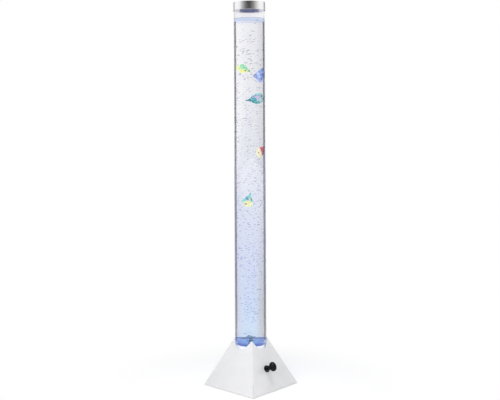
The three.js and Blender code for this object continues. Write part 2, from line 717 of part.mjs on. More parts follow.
// Open pump case with rails for the core, a boss for the pivot and holes for outlet and lead
function pumpCase() {
  const inside = [PUMP_WIDTH - PUMP_WALL * 2, PUMP_LENGTH - PUMP_WALL * 2];
  const shell = centredBlock(PUMP_WIDTH, PUMP_LENGTH, PUMP_LOW, PUMP_TOP)
    .subtract(centredBlock(...inside, PUMP_FLOOR, PUMP_TOP + OVERRUN));
  const railTop = PUMP_AXIS - CORE_HEIGHT / 2 - SEAT;
  const rails = [-1, 1].map((side) => {
    const outer = (side * CORE_WIDTH) / 2;
    const inner = outer - side * CORE_LEG;
    return block(
      [Math.min(outer, inner), CORE_LOW_Y, PUMP_LOW],
      [Math.max(outer, inner), CORE_TIP_Y, railTop],
    );
  });
  const bossTop = PUMP_AXIS - ARM_HEIGHT / 2 - SEAT;
  const boss = ring(PIVOT_RADIUS + SEAT + PIVOT_BOSS_WALL, PIVOT_RADIUS + SEAT, PUMP_FLOOR - PUMP_WALL / 2,
    bossTop, SMALL_SIDES).translate([PIVOT_X, ARM_MID_Y, 0]);
  const outletHole = bar(OUTLET_RADIUS + SEAT, 0, PUMP_WALL + OVERRUN, SMALL_SIDES).rotate([-90, 0, 0])
    .translate([BELLOWS_SIDE, PUMP_LENGTH / 2 - PUMP_WALL - OVERRUN / 2, PUMP_AXIS]);
  const leadHole = bar(LEAD_RADIUS + LEAD_HOLE_GAP, 0, PUMP_WALL + OVERRUN, HOLE_SIDES).rotate([90, 0, 0])
    .translate([PUMP_LEAD_OFFSET, -PUMP_LENGTH / 2 + PUMP_WALL + OVERRUN / 2, PUMP_LOW + PUMP_LEAD_HEIGHT]);
  return joinAll([shell, ...rails, boss]).subtract(outletHole).subtract(leadHole);
}

// Lid with a locating lip and intake slots
function pumpLid() {
  const low = PUMP_TOP + SEAT;
  const lipInset = (PUMP_WALL + SEAT) * 2;
  const plate = centredBlock(PUMP_WIDTH, PUMP_LENGTH, low, low + PUMP_LID);
  const lipLow = low - PUMP_LID_LIP;
  const lip = centredBlock(PUMP_WIDTH - lipInset, PUMP_LENGTH - lipInset, lipLow, low + PUMP_LID / 2);
  const slots = [];
  for (let i = 0; i < PUMP_INTAKES; i += 1) {
    const place = (i - (PUMP_INTAKES - 1) / 2) * PUMP_INTAKE_PITCH;
    slots.push(block(
      [-PUMP_INTAKE_LENGTH / 2, place - PUMP_INTAKE_SLOT / 2, lipLow - OVERRUN],
      [PUMP_INTAKE_LENGTH / 2, place + PUMP_INTAKE_SLOT / 2, low + PUMP_LID + OVERRUN],
    ));
  }
  return cutAll(plate.add(lip), slots);
}

// E-shaped stack of iron sheets
function pumpCore() {
  const low = PUMP_AXIS - CORE_HEIGHT / 2;
  const high = PUMP_AXIS + CORE_HEIGHT / 2;
  const half = CORE_WIDTH / 2;
  const core = block([-half, CORE_LOW_Y, low], [half, CORE_TIP_Y, high]);
  const centre = CORE_CENTRE_LEG / 2;
  const windows = [[-half + CORE_LEG, -centre], [centre, half - CORE_LEG]].map(([from, to]) => block(
    [from, CORE_LOW_Y + CORE_BACK, low - OVERRUN],
    [to, CORE_TIP_Y + OVERRUN, high + OVERRUN],
  ));
  return cutAll(core, windows);
}

// Coil wound round the middle leg of the core
function pumpCoil() {
  const from = CORE_LOW_Y + CORE_BACK + SEAT;
  const half = COIL_WIDTH / 2;
  const outer = block(
    [-half, from, PUMP_AXIS - COIL_HEIGHT / 2],
    [half, from + COIL_LENGTH, PUMP_AXIS + COIL_HEIGHT / 2],
  );
  const holeHalf = CORE_CENTRE_LEG / 2 + SEAT;
  const hole = block(
    [-holeHalf, from - OVERRUN, PUMP_AXIS - CORE_HEIGHT / 2 - SEAT],
    [holeHalf, from + COIL_LENGTH + OVERRUN, PUMP_AXIS + CORE_HEIGHT / 2 + SEAT],
  );
  return outer.subtract(hole);
}

// Lever that the coil shakes, with its hub on the pivot pin
function pumpArm() {
  const low = PUMP_AXIS - ARM_HEIGHT / 2;
  const high = PUMP_AXIS + ARM_HEIGHT / 2;
  const blade = block([PIVOT_X, ARM_LOW_Y, low], [ARM_END, ARM_LOW_Y + ARM_THICKNESS, high]);
  const hub = bar(ARM_HUB_RADIUS, low, high, SMALL_SIDES).translate([PIVOT_X, ARM_MID_Y, 0]);
  const bore = bar(PIVOT_RADIUS + RUNNING, low - OVERRUN, high + OVERRUN, SMALL_SIDES)
    .translate([PIVOT_X, ARM_MID_Y, 0]);
  return blade.add(hub).subtract(bore);
}

// Magnet on the lever, facing the core
function pumpMagnet() {
  const half = MAGNET_SIZE / 2;
  return block(
    [-half, MAGNET_LOW_Y, PUMP_AXIS - half],
    [half, MAGNET_LOW_Y + MAGNET_THICKNESS, PUMP_AXIS + half],
  );
}

// Pin that the lever swings on, between the case and the lid
function pumpPivotPin() {
  const top = PUMP_TOP - PUMP_LID_LIP;
  return bar(PIVOT_RADIUS, PUMP_FLOOR + SEAT, top, SMALL_SIDES).translate([PIVOT_X, ARM_MID_Y, 0]);
}

// Rubber bellows with two folds, open to the valve block
function pumpBellows() {
  const fold = BELLOWS_LENGTH / 4;
  const from = BELLOWS_LOW_Y;
  return turnedAlongY([
    [0, from],
    [BELLOWS_NECK_RADIUS, from],
    [BELLOWS_RADIUS, from + fold],
    [BELLOWS_NECK_RADIUS, from + fold * 2],
    [BELLOWS_RADIUS, from + fold * 3],
    [BELLOWS_RADIUS, from + fold * 4],
    [AIR_BORE_RADIUS, from + fold * 4],
    [AIR_BORE_RADIUS, from + fold],
    [0, from + fold],
  ]).translate([BELLOWS_SIDE, 0, PUMP_AXIS]);
}

// Valve block with the outlet pipe that leaves the case
function pumpValveBlock() {
  const half = VALVE_BLOCK_WIDTH / 2;
  const low = PUMP_FLOOR + SEAT;
  const high = low + VALVE_BLOCK_HEIGHT;
  const back = VALVE_BLOCK_LOW_Y + VALVE_BLOCK_LENGTH;
  const body = block([BELLOWS_SIDE - half, VALVE_BLOCK_LOW_Y, low], [BELLOWS_SIDE + half, back, high]);
  const pipe = turnedAlongY([
    [0, back - VALVE_BLOCK_LENGTH / 2],
    [OUTLET_RADIUS, back - VALVE_BLOCK_LENGTH / 2],
    [OUTLET_RADIUS, PUMP_LENGTH / 2],
    [BARB_RADIUS, PUMP_LENGTH / 2],
    [BARB_RADIUS, OUTLET_END_Y],
    [0, OUTLET_END_Y],
  ]).translate([BELLOWS_SIDE, 0, PUMP_AXIS]);
  const bore = turnedAlongY([
    [0, VALVE_BLOCK_LOW_Y - OVERRUN],
    [AIR_BORE_RADIUS, VALVE_BLOCK_LOW_Y - OVERRUN],
    [AIR_BORE_RADIUS, OUTLET_END_Y + OVERRUN],
    [0, OUTLET_END_Y + OVERRUN],
  ], HOLE_SIDES).translate([BELLOWS_SIDE, 0, PUMP_AXIS]);
  return body.add(pipe).subtract(bore);
}

// Tray with four posts for the control board
function boardTray() {
  const low = PLATE_TOP + SEAT;
  const top = low + TRAY_SHEET;
  const edge = TRAY_EDGE * 2;
  const tray = centredBlock(BOARD_WIDTH + edge, BOARD_LENGTH + edge, low, top);
  const post = bar(TRAY_POST_RADIUS, low, top + TRAY_POST, HOLE_SIDES);
  const posts = [[1, 1], [-1, 1], [-1, -1], [1, -1]].map(([x, y]) => post.translate([
    x * (BOARD_WIDTH / 2 - TRAY_POST_INSET),
    y * (BOARD_LENGTH / 2 - TRAY_POST_INSET),
    0,
  ]));
  return joinAll([tray, ...posts]).translate([BOARD_FROM_AXIS, 0, 0]);
}

// Plain circuit board
function controlBoard() {
  return centredBlock(BOARD_WIDTH, BOARD_LENGTH, BOARD_LOW, BOARD_TOP).translate([BOARD_FROM_AXIS, 0, 0]);
}

// Chip on the control board
function boardChip() {
  const low = BOARD_TOP + SEAT;
  return centredBlock(CHIP_WIDTH, CHIP_LENGTH, low, low + CHIP_HEIGHT).translate([BOARD_FROM_AXIS, 0, 0]);
}

// A point on the top of the control board, given by shares of its half width and half length
function onBoard(widthShare, lengthShare) {
  return new THREE.Vector3(
    BOARD_FROM_AXIS + widthShare * (BOARD_WIDTH / 2 - LEAD_INSET),
    lengthShare * (BOARD_LENGTH / 2 - LEAD_INSET),
    BOARD_TOP + SEAT,
  );
}

// A port given on a sloping face's own axes, as a point and the way out of it, in the lamp's axes
function facePort(along, height, point, way, turn) {
  const group = faceGroup(along, height);
  group.updateMatrix();
  return {
    point: point.clone().applyMatrix4(group.matrix).applyAxisAngle(UP, turn),
    way: way.clone().applyEuler(group.rotation).applyAxisAngle(UP, turn),
  };
}

// Lead from the board up to the light ring
function ledLead() {
  const end = new THREE.Vector3(LED_LEAD_OFFSET, 0, LED_BOARD_LOW - SEAT);
  return lead(run(onBoard(-1, 0), UP, end, DOWN, LEAD_REACH / 2, LEAD_REACH));
}

// Lead from the board into the pump
function pumpLead() {
  const end = new THREE.Vector3(PUMP_LEAD_OFFSET, -PUMP_LENGTH / 2 + PUMP_WALL, PUMP_LOW + PUMP_LEAD_HEIGHT);
  return lead(run(onBoard(0, -1), UP, end, FORWARD, PUMP_WALL + LEAD_STUB, LEAD_REACH));
}

// Lead from the board to the dimmer
function dimmerLead() {
  const place = new THREE.Vector3(0, -POT_RADIUS - SEAT, POT_FRONT - POT_DEPTH / 2);
  const port = facePort(KNOB_ALONG, KNOB_HEIGHT, place, FORWARD, 0);
  return lead(run(onBoard(1, -1), UP, port.point, port.way, LEAD_STUB, LEAD_REACH));
}

// Lead from the board to the power inlet
function inletLead() {
  const place = new THREE.Vector3(0, 0, -INLET_DEPTH - SEAT);
  const port = facePort(INLET_ALONG, INLET_HEIGHT, place, DOWN, Math.PI);
  return lead(run(onBoard(0, 1), UP, port.point, port.way, LEAD_STUB, LEAD_REACH / 2));
}

// Dimmer body with its bushing, hollow for the shaft
function dimmerPot() {
  const back = POT_FRONT - POT_DEPTH;
  const bore = SHAFT_RADIUS + RUNNING;
  return turned([
    [0, back],
    [POT_RADIUS, back],
    [POT_RADIUS, POT_FRONT],
    [BUSHING_RADIUS, POT_FRONT],
    [BUSHING_RADIUS, BUSHING_LENGTH],
    [bore, BUSHING_LENGTH],
    [bore, back + POT_FLOOR],
    [0, back + POT_FLOOR],
  ]);
}

// Hexagon nut on the dimmer's bushing
function potNut() {
  return bar(POT_NUT_RADIUS, SEAT, SEAT + POT_NUT, HEX_SIDES)
    .subtract(bar(BUSHING_RADIUS + SEAT, -OVERRUN, SEAT + POT_NUT + OVERRUN, SMALL_SIDES));
}

// Round black collar that hides the nut
function knobBezel() {
  return turned([
    [BEZEL_BORE_RADIUS, SEAT],
    [BEZEL_RADIUS, SEAT],
    [BEZEL_RADIUS, BEZEL_HEIGHT - KNOB_EDGE],
    [BEZEL_RADIUS - KNOB_EDGE, BEZEL_HEIGHT],
    [BEZEL_BORE_RADIUS, BEZEL_HEIGHT],
    [BEZEL_BORE_RADIUS, SEAT],
  ]);
}

// Knob with a slim neck, a fluted head and a pointer groove
function controlKnob() {
  const low = BUSHING_LENGTH + SEAT;
  const headLow = KNOB_REACH - KNOB_HEAD;
  const body = turned([
    [0, low],
    [KNOB_NECK_RADIUS, low],
    [KNOB_NECK_RADIUS, headLow - KNOB_FLARE],
    [KNOB_HEAD_RADIUS - KNOB_EDGE, headLow],
    [KNOB_HEAD_RADIUS, headLow + KNOB_EDGE],
    [KNOB_HEAD_RADIUS, KNOB_REACH - KNOB_EDGE],
    [KNOB_HEAD_RADIUS - KNOB_EDGE, KNOB_REACH],
    [0, KNOB_REACH],
  ], ROUND_SIDES);
  const bore = bar(SHAFT_RADIUS + SEAT, 0, KNOB_REACH - KNOB_ROOF, SMALL_SIDES);
  const groove = block(
    [-POINTER_WIDTH / 2, KNOB_NECK_RADIUS / 2, KNOB_REACH - POINTER_DEPTH],
    [POINTER_WIDTH / 2, KNOB_HEAD_RADIUS + OVERRUN, KNOB_REACH + OVERRUN],
  );
  const flute = bar(KNOB_FLUTE_RADIUS, headLow - OVERRUN, KNOB_REACH + OVERRUN, HEX_SIDES)
    .translate([KNOB_HEAD_RADIUS + KNOB_FLUTE_RADIUS / 2, 0, 0]);
  const flutes = [];
  for (let i = 0; i < KNOB_FLUTES; i += 1) {
    flutes.push(flute.rotate([0, 0, (360 * (i + 1 / 2)) / KNOB_FLUTES]));
  }
  return cutAll(body, [bore, groove, ...flutes]);
}

// Shaft that the knob is pressed on
function potShaft() {
  const low = POT_FRONT - POT_DEPTH + POT_FLOOR + SEAT;
  return bar(SHAFT_RADIUS, low, KNOB_REACH - KNOB_ROOF - SEAT, SMALL_SIDES);
}

// Round power socket with its centre pin
function powerInlet() {
  const socketFloor = INLET_FLANGE + SEAT - INLET_SOCKET_DEPTH;
  return turned([
    [0, -INLET_DEPTH],
    [INLET_RADIUS, -INLET_DEPTH],
    [INLET_RADIUS, SEAT],
    [INLET_FLANGE_RADIUS, SEAT],
    [INLET_FLANGE_RADIUS, SEAT + INLET_FLANGE],
    [INLET_SOCKET_RADIUS, SEAT + INLET_FLANGE],
    [INLET_SOCKET_RADIUS, socketFloor],
    [INLET_PIN_RADIUS, socketFloor],
    [INLET_PIN_RADIUS, 0],
    [0, 0],
  ], SMALL_SIDES);
}

// Nut that clamps the inlet from inside
function inletNut() {
  const top = -SHEET - SEAT;
  return bar(INLET_NUT_RADIUS, top - INLET_NUT, top, HEX_SIDES)
    .subtract(bar(INLET_RADIUS + SEAT, top - INLET_NUT - OVERRUN, top + OVERRUN, SMALL_SIDES));
}

// Satin metal cap with its skirt over the tube
function topCap() {
  return turned([
    [0, CAP_CEILING],
    [CAP_BORE_RADIUS, CAP_CEILING],
    [CAP_BORE_RADIUS, CAP_LOW],
    [CAP_RADIUS, CAP_LOW],
    [CAP_RADIUS, OVERALL_HEIGHT - CAP_EDGE],
    [CAP_RADIUS - CAP_EDGE, OVERALL_HEIGHT],
    [0, OVERALL_HEIGHT],
  ], FINE_SIDES);
}

// Liner glued in the cap, a flange on the tube's end and a plug in its bore, with grooves that let air out
function capLiner() {
  const low = CAP_LOW + LINER_LIFT;
  const flangeLow = LINER_TOP - LINER_FLANGE;
  const body = turned([
    [LINER_RECESS_RADIUS, low],
    [BORE_FIT_RADIUS, low],
    [BORE_FIT_RADIUS, flangeLow],
    [TUBE_RADIUS, flangeLow],
    [TUBE_RADIUS, LINER_TOP],
    [LINER_RECESS_RADIUS, LINER_TOP],
    [LINER_RECESS_RADIUS, low],
  ], FINE_SIDES);
  const inner = BORE_FIT_RADIUS - LINER_VENT_DEPTH;
  const half = LINER_VENT_WIDTH / 2;
  const grooves = [];
  for (let i = 0; i < LINER_VENTS; i += 1) {
    const groove = block([inner, -half, low - OVERRUN], [TUBE_RADIUS + OVERRUN, half, LINER_TOP + OVERRUN]);
    grooves.push(groove.rotate([0, 0, (360 * i) / LINER_VENTS]));
  }
  return cutAll(body, grooves);
}

// Each fish lies in its own lane: aside is a share of the room that its length leaves there, and height
// a share of the way from the clear floor to the cap. Its length, height and thickness are shares of the
// largest ones. Body shares run from nose to tail: place along the length, then height above and below
// the middle and half the thickness. Fin shares are [along, up] round the outline, nose at half the length.
const FISH = [
  {
    name: 'green_fish', color: 0x63b58a, facing: 1, tilt: 20,
    lane: 2, asideShare: -0.594, heightShare: 0.8235,
    lengthShare: 0.633, tallShare: 0.587, thickShare: 0.889,
    bodyShares: [
      [0.5, 0.02, 0.02, 0.06], [0.42, 0.12, 0.1, 0.24], [0.28, 0.27, 0.22, 0.42],
      [0.1, 0.36, 0.31, 0.5],
      [-0.08, 0.34, 0.3, 0.44], [-0.22, 0.2, 0.18, 0.28], [-0.32, 0.09, 0.09, 0.15],
    ],
    finShares: [
      [0.22, 0.26], [0.06, 0.42], [-0.14, 0.5], [-0.24, 0.42], [-0.27, 0.12], [-0.36, 0.1], [-0.5, 0.26],
      [-0.46, 0], [-0.5, -0.24], [-0.34, -0.09], [-0.26, -0.12], [-0.22, -0.4], [-0.06, -0.5],
      [0.1, -0.34], [0.2, -0.22], [0.3, 0],
    ],
  },
  {
    name: 'blue_fish', color: 0x3d62c4, facing: -1, tilt: 0,
    lane: 1, asideShare: 0.766, heightShare: 0.8044,
    lengthShare: 0.571, tallShare: 0.978, thickShare: 0.889,
    bodyShares: [
      [0.5, 0.015, 0.02, 0.06], [0.4, 0.09, 0.08, 0.25], [0.24, 0.2, 0.18, 0.42], [0.06, 0.28, 0.25, 0.5],
      [-0.12, 0.26, 0.23, 0.42], [-0.25, 0.14, 0.13, 0.26], [-0.34, 0.06, 0.06, 0.14],
    ],
    finShares: [
      [0.22, 0.2], [0.04, 0.36], [-0.22, 0.5], [-0.36, 0.46], [-0.26, 0.22], [-0.28, 0.08], [-0.38, 0.06],
      [-0.5, 0.16], [-0.46, 0], [-0.5, -0.16], [-0.38, -0.06], [-0.28, -0.08], [-0.26, -0.24],
      [-0.34, -0.46], [-0.2, -0.5], [0.02, -0.34], [0.2, -0.18], [0.3, 0],
    ],
  },
  {
    name: 'teal_fish', color: 0x4f9aa8, facing: -1, tilt: 0,
    lane: 0, asideShare: 0.71, heightShare: 0.7328,
    lengthShare: 1, tallShare: 0.761, thickShare: 1,
    bodyShares: [
      [0.5, 0.02, 0.02, 0.08], [0.38, 0.05, 0.05, 0.14], [0.28, 0.16, 0.12, 0.32],
      [0.12, 0.34, 0.27, 0.48], [-0.06, 0.42, 0.36, 0.5], [-0.22, 0.36, 0.3, 0.4],
      [-0.34, 0.15, 0.14, 0.2], [-0.4, 0.08, 0.08, 0.12],
    ],
    finShares: [
      [0.1, 0.32], [-0.06, 0.47], [-0.2, 0.5], [-0.33, 0.42], [-0.37, 0.24], [-0.35, 0.08], [-0.42, 0.07],
      [-0.5, 0.22], [-0.48, 0], [-0.5, -0.22], [-0.42, -0.07], [-0.35, -0.08], [-0.37, -0.26],
      [-0.3, -0.44], [-0.16, -0.5], [0, -0.38], [0.12, -0.26], [0.2, 0],
    ],
  },
  {
    name: 'red_fish', color: 0xc4313f, facing: -1, tilt: -8,
    lane: -1, asideShare: 0.998, heightShare: 0.5706,
    lengthShare: 0.592, tallShare: 0.804, thickShare: 0.889,
    bodyShares: [
      [0.5, 0.03, 0.03, 0.1], [0.4, 0.12, 0.11, 0.28], [0.24, 0.24, 0.22, 0.44], [0.05, 0.32, 0.3, 0.5],
      [-0.12, 0.27, 0.25, 0.4], [-0.26, 0.14, 0.13, 0.24], [-0.34, 0.08, 0.08, 0.14],
    ],
    finShares: [
      [0.22, 0.24], [0.08, 0.42], [-0.1, 0.5], [-0.26, 0.44], [-0.3, 0.24], [-0.28, 0.1], [-0.36, 0.08],
      [-0.5, 0.24], [-0.46, 0], [-0.5, -0.24], [-0.36, -0.08], [-0.28, -0.1], [-0.3, -0.28],
      [-0.2, -0.5], [-0.04, -0.4], [0.1, -0.28], [0.24, 0],
    ],
  },
  {
    name: 'turquoise_fish', color: 0x5cb8b0, facing: -1, tilt: 0,
    lane: -2, asideShare: -0.426, heightShare: 0.4265,
    lengthShare: 0.633, tallShare: 1, thickShare: 0.889,
    bodyShares: [
      [0.5, 0.02, 0.02, 0.07], [0.4, 0.08, 0.09, 0.26], [0.24, 0.18, 0.2, 0.44], [0.06, 0.27, 0.27, 0.5],
      [-0.12, 0.25, 0.25, 0.42], [-0.25, 0.13, 0.14, 0.26], [-0.34, 0.06, 0.07, 0.14],
    ],
    finShares: [
      [0.2, 0.17], [0.02, 0.29], [-0.2, 0.43], [-0.37, 0.5], [-0.33, 0.3], [-0.28, 0.09], [-0.38, 0.06],
      [-0.5, 0.18], [-0.45, 0], [-0.5, -0.18], [-0.38, -0.07], [-0.28, -0.09], [-0.28, -0.28],
      [-0.24, -0.5], [-0.08, -0.38], [0.1, -0.26], [0.26, 0],
    ],
  },
];

// Length, height and thickness of a fish
function fishSize(fish) {
  return {
    length: fish.lengthShare * FISH_LENGTH,
    tall: fish.tallShare * FISH_HEIGHT,
    thick: fish.thickShare * FISH_THICKNESS,
  };
}

// Middle of a fish in its lane, clear of the tube's wall
function fishPlace(fish) {
  const size = fishSize(fish);
  const across = fish.lane * LANE_PITCH;
  const clear = TUBE_BORE_RADIUS - FISH_WALL_GAP;
  const room = Math.sqrt(clear ** 2 - (Math.abs(across) + size.thick / 2) ** 2) - size.length / 2;
  const height = WATER_FLOOR_TOP + fish.heightShare * (CAP_LOW - WATER_FLOOR_TOP);
  return new THREE.Vector3(fish.asideShare * room, across, height);
}

// Body of a fish, lofted through oval sections from nose to tail
function fishBody(fish) {
  const size = fishSize(fish);
  const sections = fish.bodyShares.map(([along, up, down, side]) => {
    const points = [];
    for (let i = 0; i < FISH_SIDES; i += 1) {
      const angle = (2 * Math.PI * i) / FISH_SIDES;
      const rise = Math.sin(angle) > 0 ? up : down;
      points.push([
        along * size.length,
        side * size.thick * Math.cos(angle),
        rise * size.tall * Math.sin(angle),
      ]);
    }
    return points;
  });
  const vertices = sections.flat(2);
  const faces = [];
  for (let s = 0; s + 1 < sections.length; s += 1) {
    for (let i = 0; i < FISH_SIDES; i += 1) {
      const next = (i + 1) % FISH_SIDES;
      const [a, b] = [s * FISH_SIDES + i, s * FISH_SIDES + next];
      const [c, d] = [a + FISH_SIDES, b + FISH_SIDES];
      faces.push(a, c, b, b, c, d);
    }
  }
  const last = (sections.length - 1) * FISH_SIDES;
  for (let i = 1; i + 1 < FISH_SIDES; i += 1) {
    faces.push(0, i, i + 1, last, last + i + 1, last + i);
  }
  const geometry = new THREE.BufferGeometry();
  geometry.setAttribute('position', new THREE.BufferAttribute(new Float32Array(vertices), 3));
  geometry.setIndex(faces);
  return toSolid(geometry);
}

// Thin plate with the outline of a fish's fins and tail
function fishFins(fish) {
  const size = fishSize(fish);
  const outline = fish.finShares.map(([along, up]) => new THREE.Vector2(along * size.length, up * size.tall));
  const sheet = { depth: FIN_SHEET, bevelEnabled: false };
  const geometry = new THREE.ExtrudeGeometry(new THREE.Shape(outline), sheet);
  geometry.translate(0, 0, -FIN_SHEET / 2);
  geometry.rotateX(Math.PI / 2);
  return toSolid(geometry);
}

// A whole fish in its lane, nose along the lane's own axis or against it
function addFish(parent, fish) {
  const group = new THREE.Group();
  group.position.copy(fishPlace(fish));
  group.rotation.set(0, THREE.MathUtils.degToRad(fish.tilt), fish.facing > 0 ? 0 : Math.PI, 'ZYX');
  addPiece(group, fish.name, fishBody(fish).add(fishFins(fish)), { color: fish.color, roughness: 0.35 });
  parent.add(group);
}

// The pieces of the base
function addBase() {
  addPiece(lamp, 'base_shell', baseShell(), MATERIALS.whitePaint);
  addPiece(lamp, 'seam_strip', seamStrip(), MATERIALS.zincPlate);
  addPiece(lamp, 'floor_plate', floorPlate(), MATERIALS.zincPlate);
  addPiece(lamp, 'foot_pad', footPad(), MATERIALS.foam);
  onFourCorners(screw(SHELL_RISE, CORNER_SCREW_LENGTH), CORNER_SCREW_PLACE)
    .forEach((solid, i) => addPiece(lamp, `corner_screw_${i + 1}`, solid, MATERIALS.steel));
  onFourCorners(screw(PLATE_LOW, LEG_SCREW_LENGTH), LEG_PLACE)
    .forEach((solid, i) => addPiece(lamp, `leg_screw_${i + 1}`, solid, MATERIALS.steel));
  addPiece(lamp, 'tube_socket', tubeSocket(), MATERIALS.whitePlastic);
}

// The tube, its clear floor and the light under it
function addColumn() {
  addPiece(lamp, 'acrylic_tube', ring(TUBE_RADIUS, TUBE_BORE_RADIUS, TUBE_LOW, TUBE_TOP, FINE_SIDES),
    MATERIALS.clearAcrylic);
  addPiece(lamp, 'water_floor',
    ring(BORE_FIT_RADIUS, NOZZLE_RADIUS + SEAT, WATER_FLOOR_LOW, WATER_FLOOR_TOP, FINE_SIDES),
    MATERIALS.clearAcrylic);
  addPiece(lamp, 'led_reflector', ledReflector(), MATERIALS.whitePlastic);
  addPiece(lamp, 'led_board',
    ring(BORE_FIT_RADIUS - REFLECTOR_WALL - SEAT, REFLECTOR_BORE_RADIUS + SEAT, LED_BOARD_LOW, LED_BOARD_TOP),
    MATERIALS.whiteBoard);
  for (let i = 0; i < LED_COUNT; i += 1) {
    const led = ledPackage().rotate([0, 0, (360 * (i + 1 / 2)) / LED_COUNT]);
    addPiece(lamp, `led_${i + 1}`, led, MATERIALS.lens);
  }
}

// The air path from the check valve to the bubbles
function addAirPath() {
  addPiece(lamp, 'air_nozzle', airNozzle(), MATERIALS.clearAcrylic);
  addPiece(lamp, 'nozzle_seal',
    ring(NOZZLE_FLANGE_RADIUS, NOZZLE_RADIUS + SEAT, SEAL_LOW, SEAL_LOW + NOZZLE_SEAL, SMALL_SIDES),
    MATERIALS.siliconeHose);
  const nutTop = WATER_FLOOR_LOW - SEAT;
  const nut = bar(NOZZLE_FLANGE_RADIUS, nutTop - NOZZLE_NUT, nutTop, HEX_SIDES)
    .subtract(bar(NOZZLE_RADIUS + SEAT, nutTop - NOZZLE_NUT - OVERRUN, nutTop + OVERRUN, SMALL_SIDES));
  addPiece(lamp, 'nozzle_nut', nut, MATERIALS.brass);
  addPiece(lamp, 'air_diffuser', airDiffuser(), MATERIALS.clearAcrylic);
  addPiece(lamp, 'check_valve', checkValve(), MATERIALS.whitePlastic);
  addPiece(lamp, 'lower_hose', lowerHose(), MATERIALS.siliconeHose);
  addPiece(lamp, 'upper_hose', upperHose(), MATERIALS.siliconeHose);
}

// The air pump on its foam cushion
function addPump() {
  const inset = PUMP_CUSHION_INSET * 2;
  const cushionLow = PLATE_TOP + SEAT;
  addPiece(lamp, 'pump_cushion',
    centredBlock(PUMP_WIDTH - inset, PUMP_LENGTH - inset, cushionLow, cushionLow + PUMP_CUSHION),
    MATERIALS.foam);
  addPiece(lamp, 'pump_case', pumpCase(), MATERIALS.blackPlastic);
  addPiece(lamp, 'pump_lid', pumpLid(), MATERIALS.blackPlastic);
  addPiece(lamp, 'pump_core', pumpCore(), MATERIALS.iron);
  addPiece(lamp, 'pump_coil', pumpCoil(), MATERIALS.copper);
  addPiece(lamp, 'pump_arm', pumpArm(), MATERIALS.whitePlastic);
  addPiece(lamp, 'pump_magnet', pumpMagnet(), MATERIALS.iron);
  addPiece(lamp, 'pump_pivot_pin', pumpPivotPin(), MATERIALS.steel);
  addPiece(lamp, 'pump_bellows', pumpBellows(), MATERIALS.rubber);
  addPiece(lamp, 'pump_valve_block', pumpValveBlock(), MATERIALS.whitePlastic);
}

// The control board and the leads that leave it
function addElectrics() {
  addPiece(lamp, 'board_tray', boardTray(), MATERIALS.blackPlastic);
  addPiece(lamp, 'control_board', controlBoard(), MATERIALS.board);
  addPiece(lamp, 'board_chip', boardChip(), MATERIALS.blackPlastic);
  addPiece(lamp, 'led_lead', ledLead(), MATERIALS.leadSleeve);
  addPiece(lamp, 'pump_lead', pumpLead(), MATERIALS.leadSleeve);
  addPiece(lamp, 'dimmer_lead', dimmerLead(), MATERIALS.leadSleeve);
  addPiece(lamp, 'inlet_lead', inletLead(), MATERIALS.leadSleeve);
}

// The dimmer and its knob, square to the -Y face
function addKnob() {
  const face = faceGroup(KNOB_ALONG, KNOB_HEIGHT);
  addPiece(face, 'dimmer_pot', dimmerPot(), MATERIALS.zincPlate);
  addPiece(face, 'pot_nut', potNut(), MATERIALS.steel);
  addPiece(face, 'knob_bezel', knobBezel(), MATERIALS.blackPlastic);
  addPiece(face, 'pot_shaft', potShaft(), MATERIALS.steel);
  addPiece(face, 'control_knob', controlKnob(), MATERIALS.blackPlastic);
  lamp.add(face);
}

// The power inlet, square to the +Y face
function addInlet() {
  const rear = new THREE.Group();
  rear.rotation.z = Math.PI;
  const face = faceGroup(INLET_ALONG, INLET_HEIGHT);
  addPiece(face, 'power_inlet', powerInlet(), MATERIALS.blackPlastic);
  addPiece(face, 'inlet_nut', inletNut(), MATERIALS.steel);
  rear.add(face);
  lamp.add(rear);
}

// The cap and its liner
function addCap() {
  addPiece(lamp, 'top_cap', topCap(), MATERIALS.satinMetal);
  addPiece(lamp, 'cap_liner', capLiner(), MATERIALS.whitePlastic);
}

// The five fish, in lanes turned towards the front arris
function addShoal() {
  const lanes = new THREE.Group();
  lanes.rotation.z = LANE_TURN;
  FISH.forEach((fish) => addFish(lanes, fish));
  lamp.add(lanes);
}

addBase();
addColumn();
addAirPath();
addPump();
addElectrics();
addKnob();
addInlet();
addCap();
addShoal();

export default lamp;
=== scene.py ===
"""Bubble fish lamp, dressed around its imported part.

The clear column, its water, bubbles and fish, the cap, the folded base and the knob are modelled here in fine
meshes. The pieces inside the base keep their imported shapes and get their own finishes. Metres, +Z up the
tube, the knob on the -Y face, the floor at zero.
"""

import json
import logging
import math
import random
from dataclasses import dataclass
from enum import Enum
from typing import Iterable, Sequence

import bmesh
import bpy
from mathutils import Matrix, Vector


